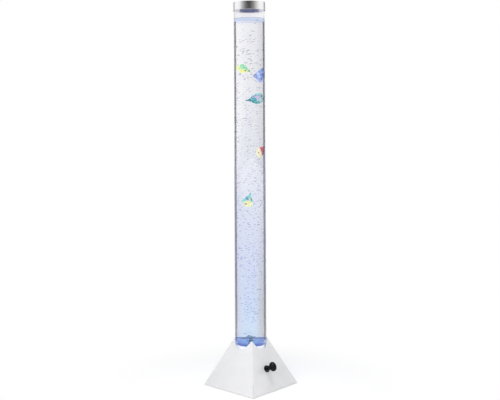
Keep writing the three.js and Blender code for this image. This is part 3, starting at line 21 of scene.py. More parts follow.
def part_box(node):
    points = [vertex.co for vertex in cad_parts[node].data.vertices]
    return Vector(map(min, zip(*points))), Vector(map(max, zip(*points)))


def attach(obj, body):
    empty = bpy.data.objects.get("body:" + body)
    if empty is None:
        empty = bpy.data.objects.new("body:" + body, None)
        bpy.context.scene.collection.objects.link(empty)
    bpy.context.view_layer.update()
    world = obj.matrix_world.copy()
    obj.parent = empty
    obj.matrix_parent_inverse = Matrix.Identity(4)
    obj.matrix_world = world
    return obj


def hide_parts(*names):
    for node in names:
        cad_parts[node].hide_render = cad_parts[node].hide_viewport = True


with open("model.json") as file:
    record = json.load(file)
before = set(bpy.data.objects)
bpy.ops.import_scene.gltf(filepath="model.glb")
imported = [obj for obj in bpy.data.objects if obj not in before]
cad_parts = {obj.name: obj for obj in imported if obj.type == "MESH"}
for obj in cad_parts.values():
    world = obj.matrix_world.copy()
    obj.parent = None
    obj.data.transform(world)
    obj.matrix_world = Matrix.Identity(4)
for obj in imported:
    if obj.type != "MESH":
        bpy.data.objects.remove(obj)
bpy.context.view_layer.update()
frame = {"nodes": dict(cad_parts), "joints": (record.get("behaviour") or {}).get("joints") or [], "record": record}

LOG = logging.getLogger("bubble_fish_lamp")
WHITE = "ffffff"
PLAIN_FLECK = "e8efe9"

# Metres left between neighbouring pieces.
CLEARANCE = 0.0003
# A face whose normal rises or falls by more than this counts as level.
LEVEL = 0.7
# How much a fish's oval section is pinched towards its back and belly.
FLANK_SQUEEZE = 0.18
# The slope of a smooth line at a row, as a share of the step between the rows on either side.
PULL = 0.35
# The corners of a square of two by two, going round.
CORNERS = ((-1, -1), (1, -1), (1, 1), (-1, 1))

Colour = tuple[float, float, float, float]
Profile = list[tuple[float, float]]
Shape = tuple[list[Vector], list[tuple[int, ...]]]
Piece = bpy.types.Object
Material = bpy.types.Material
Socket = bpy.types.NodeSocket


def paint(code: str) -> Colour:
    """Turns a six-digit screen colour into the linear colour that a shader takes.

    Args:
        code: the colour as six hexadecimal digits.

    Returns:
        Red, green, blue and a full alpha.
    """
    parts = [int(code[i:i + 2], 16) / 255 for i in (0, 2, 4)]
    red, green, blue = [v / 12.92 if v <= 0.04045 else ((v + 0.055) / 1.055) ** 2.4 for v in parts]
    return (red, green, blue, 1.0)


def settled(share: float, low: float, high: float) -> float:
    """Goes from low to high as a share goes from nought to one."""
    return low + (high - low) * share


class Wiring:
    """A node tree with short ways to add nodes and join them. Colours may be given as six digits."""

    def __init__(self, tree: bpy.types.NodeTree) -> None:
        """Empties the tree of a material or a world and takes hold of it."""
        self.tree = tree
        tree.nodes.clear()

    def add(self, kind: str, inputs: dict | None = None, **settings: object) -> bpy.types.Node:
        """Adds one node.

        Args:
            kind: the node's type without its ShaderNode prefix.
            inputs: values or sockets for its inputs, by name or number.
            settings: attributes of the node.

        Returns:
            The node.
        """
        node = self.tree.nodes.new("ShaderNode" + kind)
        for name, value in settings.items():
            setattr(node, name, value)
        for name, value in (inputs or {}).items():
            self.feed(node.inputs[name], value)
        return node

    def feed(self, socket: Socket, value: object) -> None:
        """Gives an input its value, or joins it to another node's output.

        Args:
            socket: the input.
            value: a number, a vector, a colour or an output socket.
        """
        if isinstance(value, Socket):
            self.tree.links.new(value, socket)
        else:
            socket.default_value = paint(value) if isinstance(value, str) else value

    def place(self) -> Socket:
        """Gives the point on the piece, in metres from the lamp's origin."""
        return self.add("TexCoord").outputs["Object"]

    def part(self, vector: Socket, axis: str) -> Socket:
        """Gives one part of a vector, as a number."""
        return self.add("SeparateXYZ", {0: vector}).outputs[axis]

    def height(self) -> Socket:
        """Gives the height of the point on the piece."""
        return self.part(self.place(), "Z")

    def facing(self) -> Socket:
        """Goes from nought where the surface is seen square to one where it is seen edge on."""
        return self.add("LayerWeight", {"Blend": 0.5}).outputs["Facing"]

    def math(self, operation: str, *values: object) -> Socket:
        """Works out one sum of numbers."""
        return self.add("Math", dict(enumerate(values)), operation=operation).outputs[0]

    def measure(self, operation: str, *vectors: object) -> Socket:
        """Works out one sum of vectors that gives a number."""
        return self.add("VectorMath", dict(enumerate(vectors)), operation=operation).outputs["Value"]

    def noise(self, vector: object, scale: float, detail: float = 4.0) -> Socket:
        """Gives a cloudy pattern about a half, with so many clouds to a metre and so many finer layers."""
        return self.add("TexNoise", {"Vector": vector, "Scale": scale, "Detail": detail}).outputs[0]

    def stretched(self, vector: object, scale: Sequence[float]) -> Socket:
        """Scales a vector part by part."""
        return self.add("Mapping", {"Vector": vector, "Scale": scale}).outputs[0]

    def streaks(self, scale: Sequence[float], detail: float) -> Socket:
        """Gives a cloudy pattern over the piece, drawn out along the axes."""
        return self.noise(self.stretched(self.place(), scale), 1.0, detail)

    def clouds(self, scale: float, low: float, high: float) -> Socket:
        """Gives a cloudy pattern over the piece with firmer edges, as a share."""
        return self.between(self.noise(self.place(), scale), low, high)

    def ramp(self, value: object, stops: Sequence[tuple[float, str]]) -> Socket:
        """Turns a number into a colour.

        Args:
            value: the number.
            stops: places and their colours, in order.

        Returns:
            The colour.
        """
        node = self.add("ValToRGB", {0: value})
        stones = node.color_ramp.elements
        while len(stones) < len(stops):
            stones.new(1.0)
        for stone, (place, colour) in zip(stones, stops, strict=True):
            stone.position = place
            stone.color = paint(colour)
        return node.outputs[0]

    def between(self, value: object, low: float, high: float, way: str = "SMOOTHSTEP") -> Socket:
        """Goes from nought at one value to one at another, smoothly or in a LINEAR way."""
        inputs = {"Value": value, "From Min": low, "From Max": high}
        return self.add("MapRange", inputs, interpolation_type=way).outputs[0]

    def mix(self, factor: object, first: object, second: object, blend: str = "MIX") -> Socket:
        """Mixes two colours, where the factor is the share of the second."""
        inputs = {0: factor, 6: first, 7: second}
        return self.add("Mix", inputs, data_type="RGBA", blend_type=blend).outputs[2]

    def bump(self, height: object, distance: float, strength: float = 1.0, **under: object) -> Socket:
        """Turns a height pattern into a bumpy normal, which may lie on another Normal.

        Args:
            height: the pattern.
            distance: how high its full height stands, in metres.
            strength: how much of it shows.
            under: the Normal that it lies on, if that isn't the piece's own.

        Returns:
            The normal.
        """
        inputs = {"Height": height, "Distance": distance, "Strength": strength, **under}
        return self.add("Bump", inputs).outputs[0]

    def blend(self, factor: object, first: bpy.types.Node, second: bpy.types.Node) -> bpy.types.Node:
        """Mixes two shaders, where the factor is the share of the second."""
        return self.add("MixShader", {0: factor, 1: first.outputs[0], 2: second.outputs[0]})

    def surface(self, shader: bpy.types.Node, output: str = "OutputMaterial") -> None:
        """Joins the last shader to the material's or the world's surface."""
        self.feed(self.add(output).inputs["Surface"], shader.outputs[0])

    def solid(self, inputs: dict) -> None:
        """Ends the tree in a surface that light doesn't pass."""
        self.surface(self.add("BsdfPrincipled", inputs))

    def glass(self, colour: object, index: float, shade: str, **bumps: object) -> None:
        """Ends the tree in a clear surface, which the lamps shine through in a straight line.

        Args:
            colour: its tint.
            index: how strongly it bends light.
            shade: the tint that the lamps' light takes.
            bumps: its Normal, if it isn't smooth.
        """
        inputs = {"Base Color": colour, "Roughness": 0.0, "IOR": index, "Transmission Weight": 1.0, **bumps}
        lamps = self.add("LightPath").outputs["Is Shadow Ray"]
        clear = self.add("BsdfTransparent", {"Color": shade})
        self.surface(self.blend(lamps, self.add("BsdfPrincipled", inputs), clear))


class Surface:
    """What every finish shares: a name, and a tree that it wires in its own way."""

    name: str

    def wire(self, wires: Wiring) -> None:
        """Wires the material.

        Args:
            wires: its empty tree.
        """
        raise NotImplementedError

    def make(self) -> Material:
        """Builds the material.

        Returns:
            The material, ready for a slot.
        """
        material = bpy.data.materials.new(self.name)
        material.use_nodes = True
        self.wire(Wiring(material.node_tree))
        return material


class Grain(Enum):
    """The patterns that a worked surface can have."""

    ORANGE_PEEL = "sprayed paint"
    SPANGLE = "zinc crystals"
    TURNED = "rings left by a lathe"
    MOULDED = "fine moulded texture"
    FOAMED = "open cells"
    LAMINATED = "stacked sheets"
    WOUND = "turns of wire"
    TRACED = "copper tracks under lacquer"


WAVES: dict[Grain, tuple[str, float]] = {
    Grain.TURNED: ("Z", 0.6),
    Grain.LAMINATED: ("Z", 0.2),
    Grain.WOUND: ("Y", 0.3),
}


@dataclass(frozen=True)
class Finish(Surface):
    """One worked surface: its colours, gloss and grain."""

    name: str
    light: str
    dark: str
    roughness: float
    grain: Grain
    grain_scale: float
    grain_height: float
    metallic: float = 0.0
    coat: float = 0.0
    # glow: a glow in the light colour, which is the LED packages' own light and painted light on the other parts
    # that have it.
    glow: float = 0.0
    mottle_scale: float = 30.0
    gloss: float = 0.5

    def pattern(self, wires: Wiring) -> Socket:
        """Draws the grain.

        Args:
            wires: the material's tree.

        Returns:
            The grain as a height from nought to one.
        """
        place = wires.place()
        inputs = {"Vector": place, "Scale": self.grain_scale}
        if self.grain in WAVES:
            bands, stir = WAVES[self.grain]
            return wires.add("TexWave", inputs | {"Distortion": stir}, bands_direction=bands).outputs[1]
        if self.grain is Grain.SPANGLE:
            return wires.part(wires.add("TexVoronoi", inputs, feature="F1").outputs["Color"], "X")
        if self.grain is Grain.FOAMED:
            return wires.add("TexVoronoi", inputs, feature="DISTANCE_TO_EDGE").outputs["Distance"]
        if self.grain is Grain.TRACED:
            return wires.add("TexBrick", inputs | {"Mortar Size": 0.06, "Row Height": 0.3}).outputs["Fac"]
        return wires.noise(place, self.grain_scale, 6.0 if self.grain is Grain.MOULDED else 2.0)

    def wire(self, wires: Wiring) -> None:
        """Wires the material.

        Args:
            wires: its empty tree.
        """
        height = self.pattern(wires)
        mottle = wires.math("MULTIPLY", wires.noise(wires.place(), self.mottle_scale), 0.65)
        tone = wires.between(wires.math("MULTIPLY_ADD", height, 0.35, mottle), 0.3, 0.7)
        wear = wires.between(wires.noise(wires.place(), self.mottle_scale * 3, 8.0), 0.3, 0.7, "LINEAR")
        wires.solid({
            "Base Color": wires.mix(tone, self.dark, self.light),
            "Metallic": self.metallic,
            "Roughness": wires.math("MULTIPLY_ADD", wear, self.roughness * 0.45, self.roughness * 0.8),
            "Specular IOR Level": self.gloss,
            "Coat Weight": self.coat,
            "Coat Roughness": 0.08,
            "Emission Color": self.light,
            "Emission Strength": self.glow,
            "Normal": wires.bump(height, self.grain_height),
        })


@dataclass(frozen=True)
class ClearFinish(Surface):
    """Clear acrylic with a drawn tube's faint flow lines."""

    name: str = "clear_acrylic"
    index: float = 1.49
    clear: str = WHITE
    faint: str = "fcfcfe"

    def wire(self, wires: Wiring) -> None:
        """Wires the material.

        Args:
            wires: its empty tree.
        """
        flow = wires.between(wires.streaks((60.0, 60.0, 7.0), 3.0), 0.35, 0.65)
        lines = wires.bump(wires.streaks((180.0, 180.0, 2.0), 2.0), 0.00002)
        swell = wires.bump(wires.streaks((30.0, 30.0, 22.0), 3.0), 0.0004, 0.5, Normal=lines)
        wires.glass(wires.mix(flow, self.faint, self.clear), self.index, "f4f6fa", Normal=swell)


@dataclass(frozen=True)
class SheenFinish(Surface):
    """A moulding painted dark slate blue as shade inside the cap, with a painted pale sheen where it is seen edge
    on, glowing a little.
    """

    name: str
    dark: str
    light: str
    sheen: str
    sheen_start: float = 0.24
    sheen_full: float = 0.36

    def wire(self, wires: Wiring) -> None:
        """Wires the material.

        Args:
            wires: its empty tree.
        """
        cloud = wires.noise(wires.place(), 80.0)
        # Painted shade: dark slate blue.
        colour = wires.mix(wires.between(cloud, 0.3, 0.7), self.dark, self.light)
        # Painted sheen: pale where the surface is seen edge on; the whole surface also glows a little.
        edge = wires.between(wires.facing(), self.sheen_start, self.sheen_full)
        shown = wires.mix(edge, colour, self.sheen)
        wires.solid({
            "Base Color": shown,
            "Roughness": 0.4,
            "Emission Color": shown,
            "Emission Strength": 0.5,
            "Normal": wires.bump(cloud, 0.0001),
        })


@dataclass(frozen=True)
class WaterFinish(Surface):
    """Water with the lamp's blue light painted into its tint, from nearly none at the top to pale blue low down,
    and painted shade at its sides and edges.
    """

    name: str = "lit_water"
    index: float = 1.333
    low: float = 0.145
    high: float = 1.167
    film: float = 0.0085
    line_low: float = 0.22
    line_high: float = 0.29
    line_soft: float = 0.009
    grey_side: tuple[float, float, float] = (0.668, -0.744, 0.0)

    def wire(self, wires: Wiring) -> None:
        """Wires the material: a clear middle, sides tinted with painted shade, and a painted dark line of shade
        where the wall is seen nearly edge on.

        Args:
            wires: its empty tree.
        """
        height = wires.height()
        drift = wires.math("MULTIPLY_ADD", wires.streaks((14.0, 14.0, 5.0), 3.0), 0.05, height)
        share = wires.between(drift, self.low, self.high, "LINEAR")
        # Painted light: the lamp's blue glow in the water, deepest low down and fading to none near the top.
        painted_glow_tint = wires.ramp(share, (
            (0.0, "d6eafb"), (0.03, "d2e6fa"), (0.12, "d3e1f8"), (0.28, "dae2f7"), (0.44, "e4e9f7"),
            (0.6, "f6f8fd"), (0.85, WHITE),
        ))
        # Painted shade: where the column is seen towards edge on, it darkens to lilac, and to grey on the side
        # that grey_side points to.
        lilac = wires.ramp(share, (
            (0.0, "dcdeec"), (0.12, "d8dae8"), (0.3, "dadcee"), (0.45, "e4e6f2"), (0.7, "fcfcfe"),
        ))
        grey = wires.ramp(share, (
            (0.0, "d0d2d8"), (0.12, "c6c7ca"), (0.3, "d4d6e0"), (0.45, "e2e4ee"), (0.7, "f2f2f5"),
        ))
        # Painted shade: the colour of a dark line near each edge of the column, broken here and there.
        rim = wires.ramp(wires.between(height, self.low, self.high, "LINEAR"), (
            (0.0, "7c7d82"), (0.07, "56575f"), (0.15, "4d526a"), (0.3, "50577a"), (0.47, "5f657f"),
            (0.5, "6c7088"), (0.6, "4f525e"), (1.0, "505258"),
        ))
        side = wires.between(wires.measure("DOT_PRODUCT", wires.place(), self.grey_side), 0.0, 0.02)
        facing = wires.facing()
        broad = wires.math("MULTIPLY_ADD", side, 0.04, facing)
        body = wires.mix(wires.between(broad, 0.05, 0.16), painted_glow_tint, wires.mix(side, lilac, grey))
        breaks = wires.streaks((25.0, 25.0, 90.0), 2.0)
        uneven = wires.math("MULTIPLY_ADD", breaks, 0.02, wires.math("SUBTRACT", facing, 0.01))
        begun = wires.between(uneven, self.line_low - self.line_soft, self.line_low)
        ended = wires.between(uneven, self.line_high, self.line_high + self.line_soft)
        line = wires.math("MULTIPLY", begun, wires.math("SUBTRACT", 1.0, ended))
        near_surface = wires.between(height, self.high - self.film * 1.25, self.high - self.film)
        tint = wires.mix(near_surface, wires.mix(line, body, rim), "cfdcf5")
        ripple = wires.bump(wires.streaks((70.0, 70.0, 40.0), 2.0), 0.0004, 0.5)
        wires.glass(tint, self.index, "eef3fd", Normal=ripple)


@dataclass(frozen=True)
class BubbleFinish(Surface):
    """The skin of an air bubble in water."""

    name: str = "air_bubble"
    index: float = 1.1
    lit_low: float = 0.35
    lit_high: float = 0.75
    top_low: float = 0.88
    top_high: float = 1.05

    def wire(self, wires: Wiring) -> None:
        """Wires the material: painted blue light low down over the lamp, and edges painted darker as shade,
        greyest near the top.

        Args:
            wires: its empty tree.
        """
        pale = wires.mix(wires.clouds(40.0, 0.4, 0.6), "f8f9fc", WHITE)
        above_light = wires.between(wires.height(), self.lit_low, self.lit_high)
        near_top = wires.between(wires.height(), self.top_low, self.top_high)
        # Painted shade: the darker colour of the bubble's edges, blue where the lamp's light is painted low down.
        rim = wires.mix(above_light, "a0b2e0", wires.mix(near_top, "c2c6d2", "a2a6ae"))
        # Painted light: the middle is tinted blue low down, over the lamp.
        middle = wires.mix(above_light, "cfdaf6", pale)
        wires.glass(wires.mix(wires.between(wires.facing(), 0.25, 0.5), middle, rim), self.index, WHITE)


@dataclass(frozen=True)
class LitAcrylic(Surface):
    """The acrylic of the column's floor, with the light that it takes from the side painted into its tint: dark
    blue low down, pale cyan above.
    """

    name: str
    index: float
    low: float = 0.1365
    high: float = 0.146

    def wire(self, wires: Wiring) -> None:
        """Wires the material.

        Args:
            wires: its empty tree.
        """
        cloud = wires.clouds(55.0, 0.35, 0.65)
        rise = wires.between(wires.height(), self.low, self.high)
        # Painted light and shade: dark blue low down, pale cyan above.
        tint = wires.mix(rise, "4f5cae", wires.mix(cloud, "dcefff", "e8f5ff"))
        wires.glass(tint, self.index, "e4f0fd", Normal=wires.bump(cloud, 0.0002))


@dataclass(frozen=True)
class FrostedFinish(Surface):
    """The frosted underside of the column's floor, with the lamp's blue light painted on it: palest over the
    middle, darker towards the edge, and glowing a little.
    """

    name: str = "frosted_underside"
    radius: float = 0.0457
    glow: float = 0.22

    def wire(self, wires: Wiring) -> None:
        """Wires the material.

        Args:
            wires: its empty tree.
        """
        place = wires.place()
        away = wires.measure("LENGTH", wires.stretched(place, (1.0, 1.0, 0.0)))
        swirl = wires.noise(place, 120.0, 3.0)
        stir = wires.math("MULTIPLY_ADD", swirl, 0.006, wires.math("SUBTRACT", away, 0.003))
        # Painted light: a pool of blue light, palest in the middle and darker towards the edge; it also glows.
        colour = wires.ramp(wires.math("DIVIDE", stir, self.radius), (
            (0.0, "a6c6da"), (0.35, "96aecb"), (0.6, "8b9bc6"), (0.85, "8592c4"), (1.0, "7b89be"),
        ))
        wires.solid({
            "Base Color": colour,
            "Roughness": 0.6,
            "Emission Color": colour,
            "Emission Strength": self.glow,
            "Normal": wires.bump(stir, 0.0004),
        })


@dataclass(frozen=True)
class InnerFaceFinish(Surface):
    """The white paint inside the shell, with the lamp's cyan light painted on it, glowing, where it stands by the
    tube.
    """

    name: str = "lit_inner_paint"
    low: float = 0.112
    high: float = 0.13
    glow: float = 0.3

    def wire(self, wires: Wiring) -> None:
        """Wires the material.

        Args:
            wires: its empty tree.
        """
        cloud = wires.clouds(90.0, 0.35, 0.65)
        near = wires.between(wires.height(), self.low, self.high)
        # Painted light: cyan near the top of the shell's inside, where it also glows.
        lit = wires.mix(cloud, "a4d6f6", "bce4fb")
        wires.solid({
            "Base Color": wires.mix(near, "f1f1f3", lit),
            "Roughness": 0.3,
            "Emission Color": lit,
            "Emission Strength": wires.math("MULTIPLY", near, self.glow),
            "Normal": wires.bump(cloud, 0.00003),
        })


@dataclass(frozen=True)
class FloorFinish(Surface):
    """Pale paper that keeps the lamp's shadow and fades to white away from it."""

    name: str = "pale_floor"
    lift: float = 0.2
    fade_start: float = 0.2
    fade_end: float = 0.55

    def wire(self, wires: Wiring) -> None:
        """Wires the material.

        Args:
            wires: its empty tree.
        """
        grit = wires.mix(wires.clouds(900.0, 0.3, 0.7), "f7f7f8", "fbfbfc")
        matt = wires.add("BsdfDiffuse", {"Color": grit})
        lift = wires.add("Emission", {"Color": WHITE, "Strength": self.lift})
        near = wires.add("AddShader", {0: matt.outputs[0], 1: lift.outputs[0]})
        white = wires.add("Emission", {"Color": WHITE, "Strength": 1.0})
        far = wires.between(wires.measure("LENGTH", wires.place()), self.fade_start, self.fade_end)
        rays = wires.add("LightPath").outputs
        seen = wires.math("MAXIMUM", rays["Is Camera Ray"], rays["Is Transmission Ray"])
        wires.surface(wires.blend(seen, matt, wires.blend(far, near, white)))


@dataclass(frozen=True)
class Patch:
    """A soft-edged patch of colour on a fish."""

    along_share: float
    up_share: float
    size_share: float
    colour: str
    wide: float = 1.0


@dataclass(frozen=True)
class FishFinish(Surface):
    """Moulded and hand-sprayed plastic skin of one fish, glowing in its own colour as painted light."""

    name: str
    skin: str
    patches: tuple[Patch, ...]
    centre: tuple[float, float, float]
    size: tuple[float, float, float]
    turn: tuple[float, float, float]
    fleck: str
    flecked: float

    def wire(self, wires: Wiring) -> None:
        """Wires the material: the skin, its patches in order, flecks and scales.

        Args:
            wires: its empty tree.
        """
        place = wires.place()
        axes = {"Vector": place, "Location": self.centre, "Rotation": self.turn, "Scale": self.size}
        own = wires.add("Mapping", axes, vector_type="TEXTURE").outputs[0]
        flat = wires.stretched(own, (1.0, 0.0, 1.0))
        stir = wires.noise(place, 260.0, 3.0)
        mottle = wires.math("MULTIPLY", wires.clouds(420.0, 0.3, 0.7), 0.35)
        colour = wires.mix(mottle, self.skin, PLAIN_FLECK, "MULTIPLY")
        for patch in self.patches:
            spread = wires.stretched(flat, (1.0 / patch.wide, 1.0, 1.0))
            middle = (patch.along_share / patch.wide, 0.0, patch.up_share)
            gap = wires.math("SUBTRACT", wires.measure("DISTANCE", spread, middle), 0.06)
            stirred = wires.math("MULTIPLY_ADD", stir, 0.12, gap)
            outside = wires.between(stirred, patch.size_share * 0.75, patch.size_share * 1.2)
            colour = wires.mix(outside, patch.colour, colour)
        flecks = wires.between(wires.noise(place, 230.0, 2.0), 0.5, 0.6)
        colour = wires.mix(wires.math("MULTIPLY", flecks, self.flecked), colour, self.fleck)
        cells = {"Vector": wires.stretched(place, (1.0, 1.0, 0.8)), "Scale": 520.0}
        scales = wires.add("TexVoronoi", cells, feature="SMOOTH_F1").outputs["Distance"]
        wires.solid({
            "Base Color": colour,
            "Roughness": 0.32,
            "Subsurface Weight": 0.1,
            "Subsurface Scale": 0.004,
            "Coat Weight": 0.35,
            "Coat Roughness": 0.12,
            # Painted light: the skin glows in its own colour, as if lit by the lamp.
            "Emission Color": colour,
            "Emission Strength": 0.62,
            "Normal": wires.bump(scales, 0.00035, 0.7),
        })


def placed(name: str, data: bpy.types.ID) -> Piece:
    """Puts a mesh, a lamp or a camera into the scene.

    Args:
        name: the object's name.
        data: what it shows.

    Returns:
        The object.
    """
    item = bpy.data.objects.new(name, data)
    bpy.context.scene.collection.objects.link(item)
    return item


def hung(name: str, data: bpy.types.Light, spot: Vector) -> Piece:
    """Hangs a lamp that lights the pieces and is seen in none of them.

    Args:
        name: the lamp's name.
        data: its light.
        spot: where it hangs.

    Returns:
        The lamp.
    """
    lamp = placed(name, data)
    lamp.location = spot
    lamp.visible_camera = False
    lamp.visible_glossy = False
    lamp.visible_transmission = False
    return lamp


def to_object(name: str, points: Sequence[Sequence[float]], faces: Sequence[Sequence[int]],
              crease: float = 35.0) -> Piece:
    """Makes a smooth-shaded piece from points and faces.

    Args:
        name: the piece's name.
        points: the corners.
        faces: the corners of each face.
        crease: edges folded by more than this many degrees stay sharp.

    Returns:
        The piece.
    """
    mesh = bpy.data.meshes.new(name)
    mesh.from_pydata([tuple(p) for p in points], [], faces)
    work = bmesh.new()
    work.from_mesh(mesh)
    bmesh.ops.remove_doubles(work, verts=work.verts, dist=1e-7)
    bmesh.ops.recalc_face_normals(work, faces=work.faces)
    work.to_mesh(mesh)
    work.free()
    smooth(mesh, crease)
    return placed(name, mesh)


def gathered(shapes: Iterable[Shape]) -> Shape:
    """Joins shapes into one.

    Args:
        shapes: the points and faces of each.

    Returns:
        The points and faces of all.
    """
    points: list[Vector] = []
    faces: list[tuple[int, ...]] = []
    for corners, sides in shapes:
        start = len(points)
        points += corners
        faces += [tuple(start + k for k in side) for side in sides]
    return points, faces


def smooth(mesh: bpy.types.Mesh, crease: float) -> None:
    """Shades a mesh smooth between its creases, which are the edges folded by more degrees than crease."""
    mesh.polygons.foreach_set("use_smooth", [True] * len(mesh.polygons))
    mesh.set_sharp_from_angle(angle=math.radians(crease))


def coated(piece: Piece, *finishes: Material) -> None:
    """Gives a piece its materials, in order."""
    for material in finishes:
        piece.data.materials.append(material)


def eased(profile: Profile, radius: float, steps: int = 4) -> Profile:
    """Rounds the corners of a closed profile, apart from those on the axis.

    Args:
        profile: points as radius and height.
        radius: how far from a corner its round starts.
        steps: how many points a round has.

    Returns:
        The rounded profile.
    """
    rounded: Profile = []
    count = len(profile)
    for i, corner in enumerate(profile):
        here = Vector(corner)
        if here.x == 0:
            rounded.append(corner)
            continue
        back = Vector(profile[i - 1]) - here
        ahead = Vector(profile[(i + 1) % count]) - here
        start = here + back.normalized() * min(radius, back.length * 0.45)
        end = here + ahead.normalized() * min(radius, ahead.length * 0.45)
        for step in range(steps + 1):
            share = step / steps
            point = start.lerp(here, share).lerp(here.lerp(end, share), share)
            rounded.append((point.x, point.y))
    return rounded


def ring_outline(inner: float, outer: float, low: float, high: float) -> Profile:
    """Gives the square outline of a ring between two radii and two heights."""
    return [(inner, low), (outer, low), (outer, high), (inner, high)]


def turned(name: str, profile: Profile, sides: int, crease: float = 35.0) -> Piece:
    """Turns a closed profile about the Z axis.

    Args:
        name: the piece's name.
        profile: points as radius and height, going round.
        sides: facets round a full turn.
        crease: edges folded by more than this many degrees stay sharp.

    Returns:
        The piece.
    """
    points = []
    for i in range(sides):
        angle = 2 * math.pi * i / sides
        points += [(r * math.cos(angle), r * math.sin(angle), z) for r, z in profile]
    count = len(profile)
    faces = []
    for i in range(sides):
        here, there = i * count, (i + 1) % sides * count
        for j in range(count):
            k = (j + 1) % count
            if profile[j][0] or profile[k][0]:
                faces.append((here + j, there + j, there + k, here + k))
    return to_object(name, points, faces, crease)


def block(name: str, low: Sequence[float], high: Sequence[float]) -> Piece:
    """Makes a cutting block between two corners.

    Args:
        name: the block's name.
        low: its lowest corner.
        high: its highest corner.

    Returns:
        The block.
    """
    points = [(x, y, z) for x in (low[0], high[0]) for y in (low[1], high[1]) for z in (low[2], high[2])]
    faces = [(0, 1, 3, 2), (4, 6, 7, 5), (0, 4, 5, 1), (2, 3, 7, 6), (0, 2, 6, 4), (1, 5, 7, 3)]
    return to_object(name, points, faces)


def moved(piece: Piece, matrix: Matrix) -> Piece:
    """Moves a piece's mesh, leaves its origin where it is, and gives the same piece."""
    piece.data.transform(matrix)
    return piece


def carved(piece: Piece, cutters: Sequence[Piece], crease: float) -> None:
    """Cuts a list of blocks and bars out of a piece, and takes them away.

    Args:
        piece: the piece.
        cutters: what is cut out.
        crease: edges folded by more than this many degrees stay sharp.
    """
    for cutter in cutters:
        cut = piece.modifiers.new(cutter.name, "BOOLEAN")
        cut.object = cutter
        cut.operation = "DIFFERENCE"
        cut.solver = "EXACT"
    graph = bpy.context.evaluated_depsgraph_get()
    mesh = bpy.data.meshes.new_from_object(piece.evaluated_get(graph))
    piece.modifiers.clear()
    piece.data = mesh
    for cutter in cutters:
        bpy.data.objects.remove(cutter)
    smooth(mesh, crease)


def settle_normals(piece: Piece) -> None:
    """Lets a piece's large faces shade flat beside their rounded edges."""
    weigh = piece.modifiers.new("flat faces", "WEIGHTED_NORMAL")
    weigh.keep_sharp = True


def install(piece: Piece, body: str, slot: str, *replaced: str) -> None:
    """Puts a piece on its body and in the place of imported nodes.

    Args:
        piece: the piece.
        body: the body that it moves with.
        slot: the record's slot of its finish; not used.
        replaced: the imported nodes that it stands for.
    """
    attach(piece, body)
    if replaced:
        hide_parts(*replaced)
    LOG.info("%s rides on %s and stands for %s", piece.name, body, ", ".join(replaced) or "nothing packed")


def body_of(node: str) -> str:
    """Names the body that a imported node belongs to."""
    bodies = frame["record"]["behaviour"]["bodies"]
    return next(body for body, nodes in bodies.items() if node in nodes)


def joint_of(body: str) -> dict:
    """Gives the joint that a body moves on."""
    return next(joint for joint in frame["joints"] if joint["child"] == body)


def finish_packed(name: str, material: Material) -> None:
    """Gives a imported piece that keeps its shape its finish.

    Args:
        name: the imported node.
        material: its finish.
    """
    for place in frame["nodes"][name].material_slots:
        place.material = material
    LOG.info("%s keeps its packed shape, finished in %s", name, material.name)


ROOM_TONES: tuple[tuple[float, str], ...] = (
    (-180, "444443"), (-165, "525250"), (-150, "808080"), (-133, "b0b0b2"), (-115, "eaeaec"), (-100, WHITE),
    (-60, WHITE), (-52, "b4b5bb"), (-40, "b4b5bb"), (-34, "e6e6e8"), (-20, "ededef"), (-6, "fafafc"),
    (2, WHITE), (34, WHITE), (40, "8a8b92"), (52, "8a8b92"), (62, WHITE), (100, WHITE), (115, "f0eeea"),
    (129, "cfcdc9"), (150, "8c8a88"), (166, "5e5c5a"), (180, "444443"),
)

THROUGH_TONES: tuple[tuple[float, str], ...] = (
    (-180, "e0e0e2"), (-115, "eeeeef"), (-60, "e6e6e8"), (-34, "e6e6e8"), (-20, "e9e9ec"), (-6, "f3f3f6"),
    (2, "f7f7fa"), (34, WHITE), (60, "f0f0f2"), (115, "eeeeef"), (180, "e0e0e2"),
)


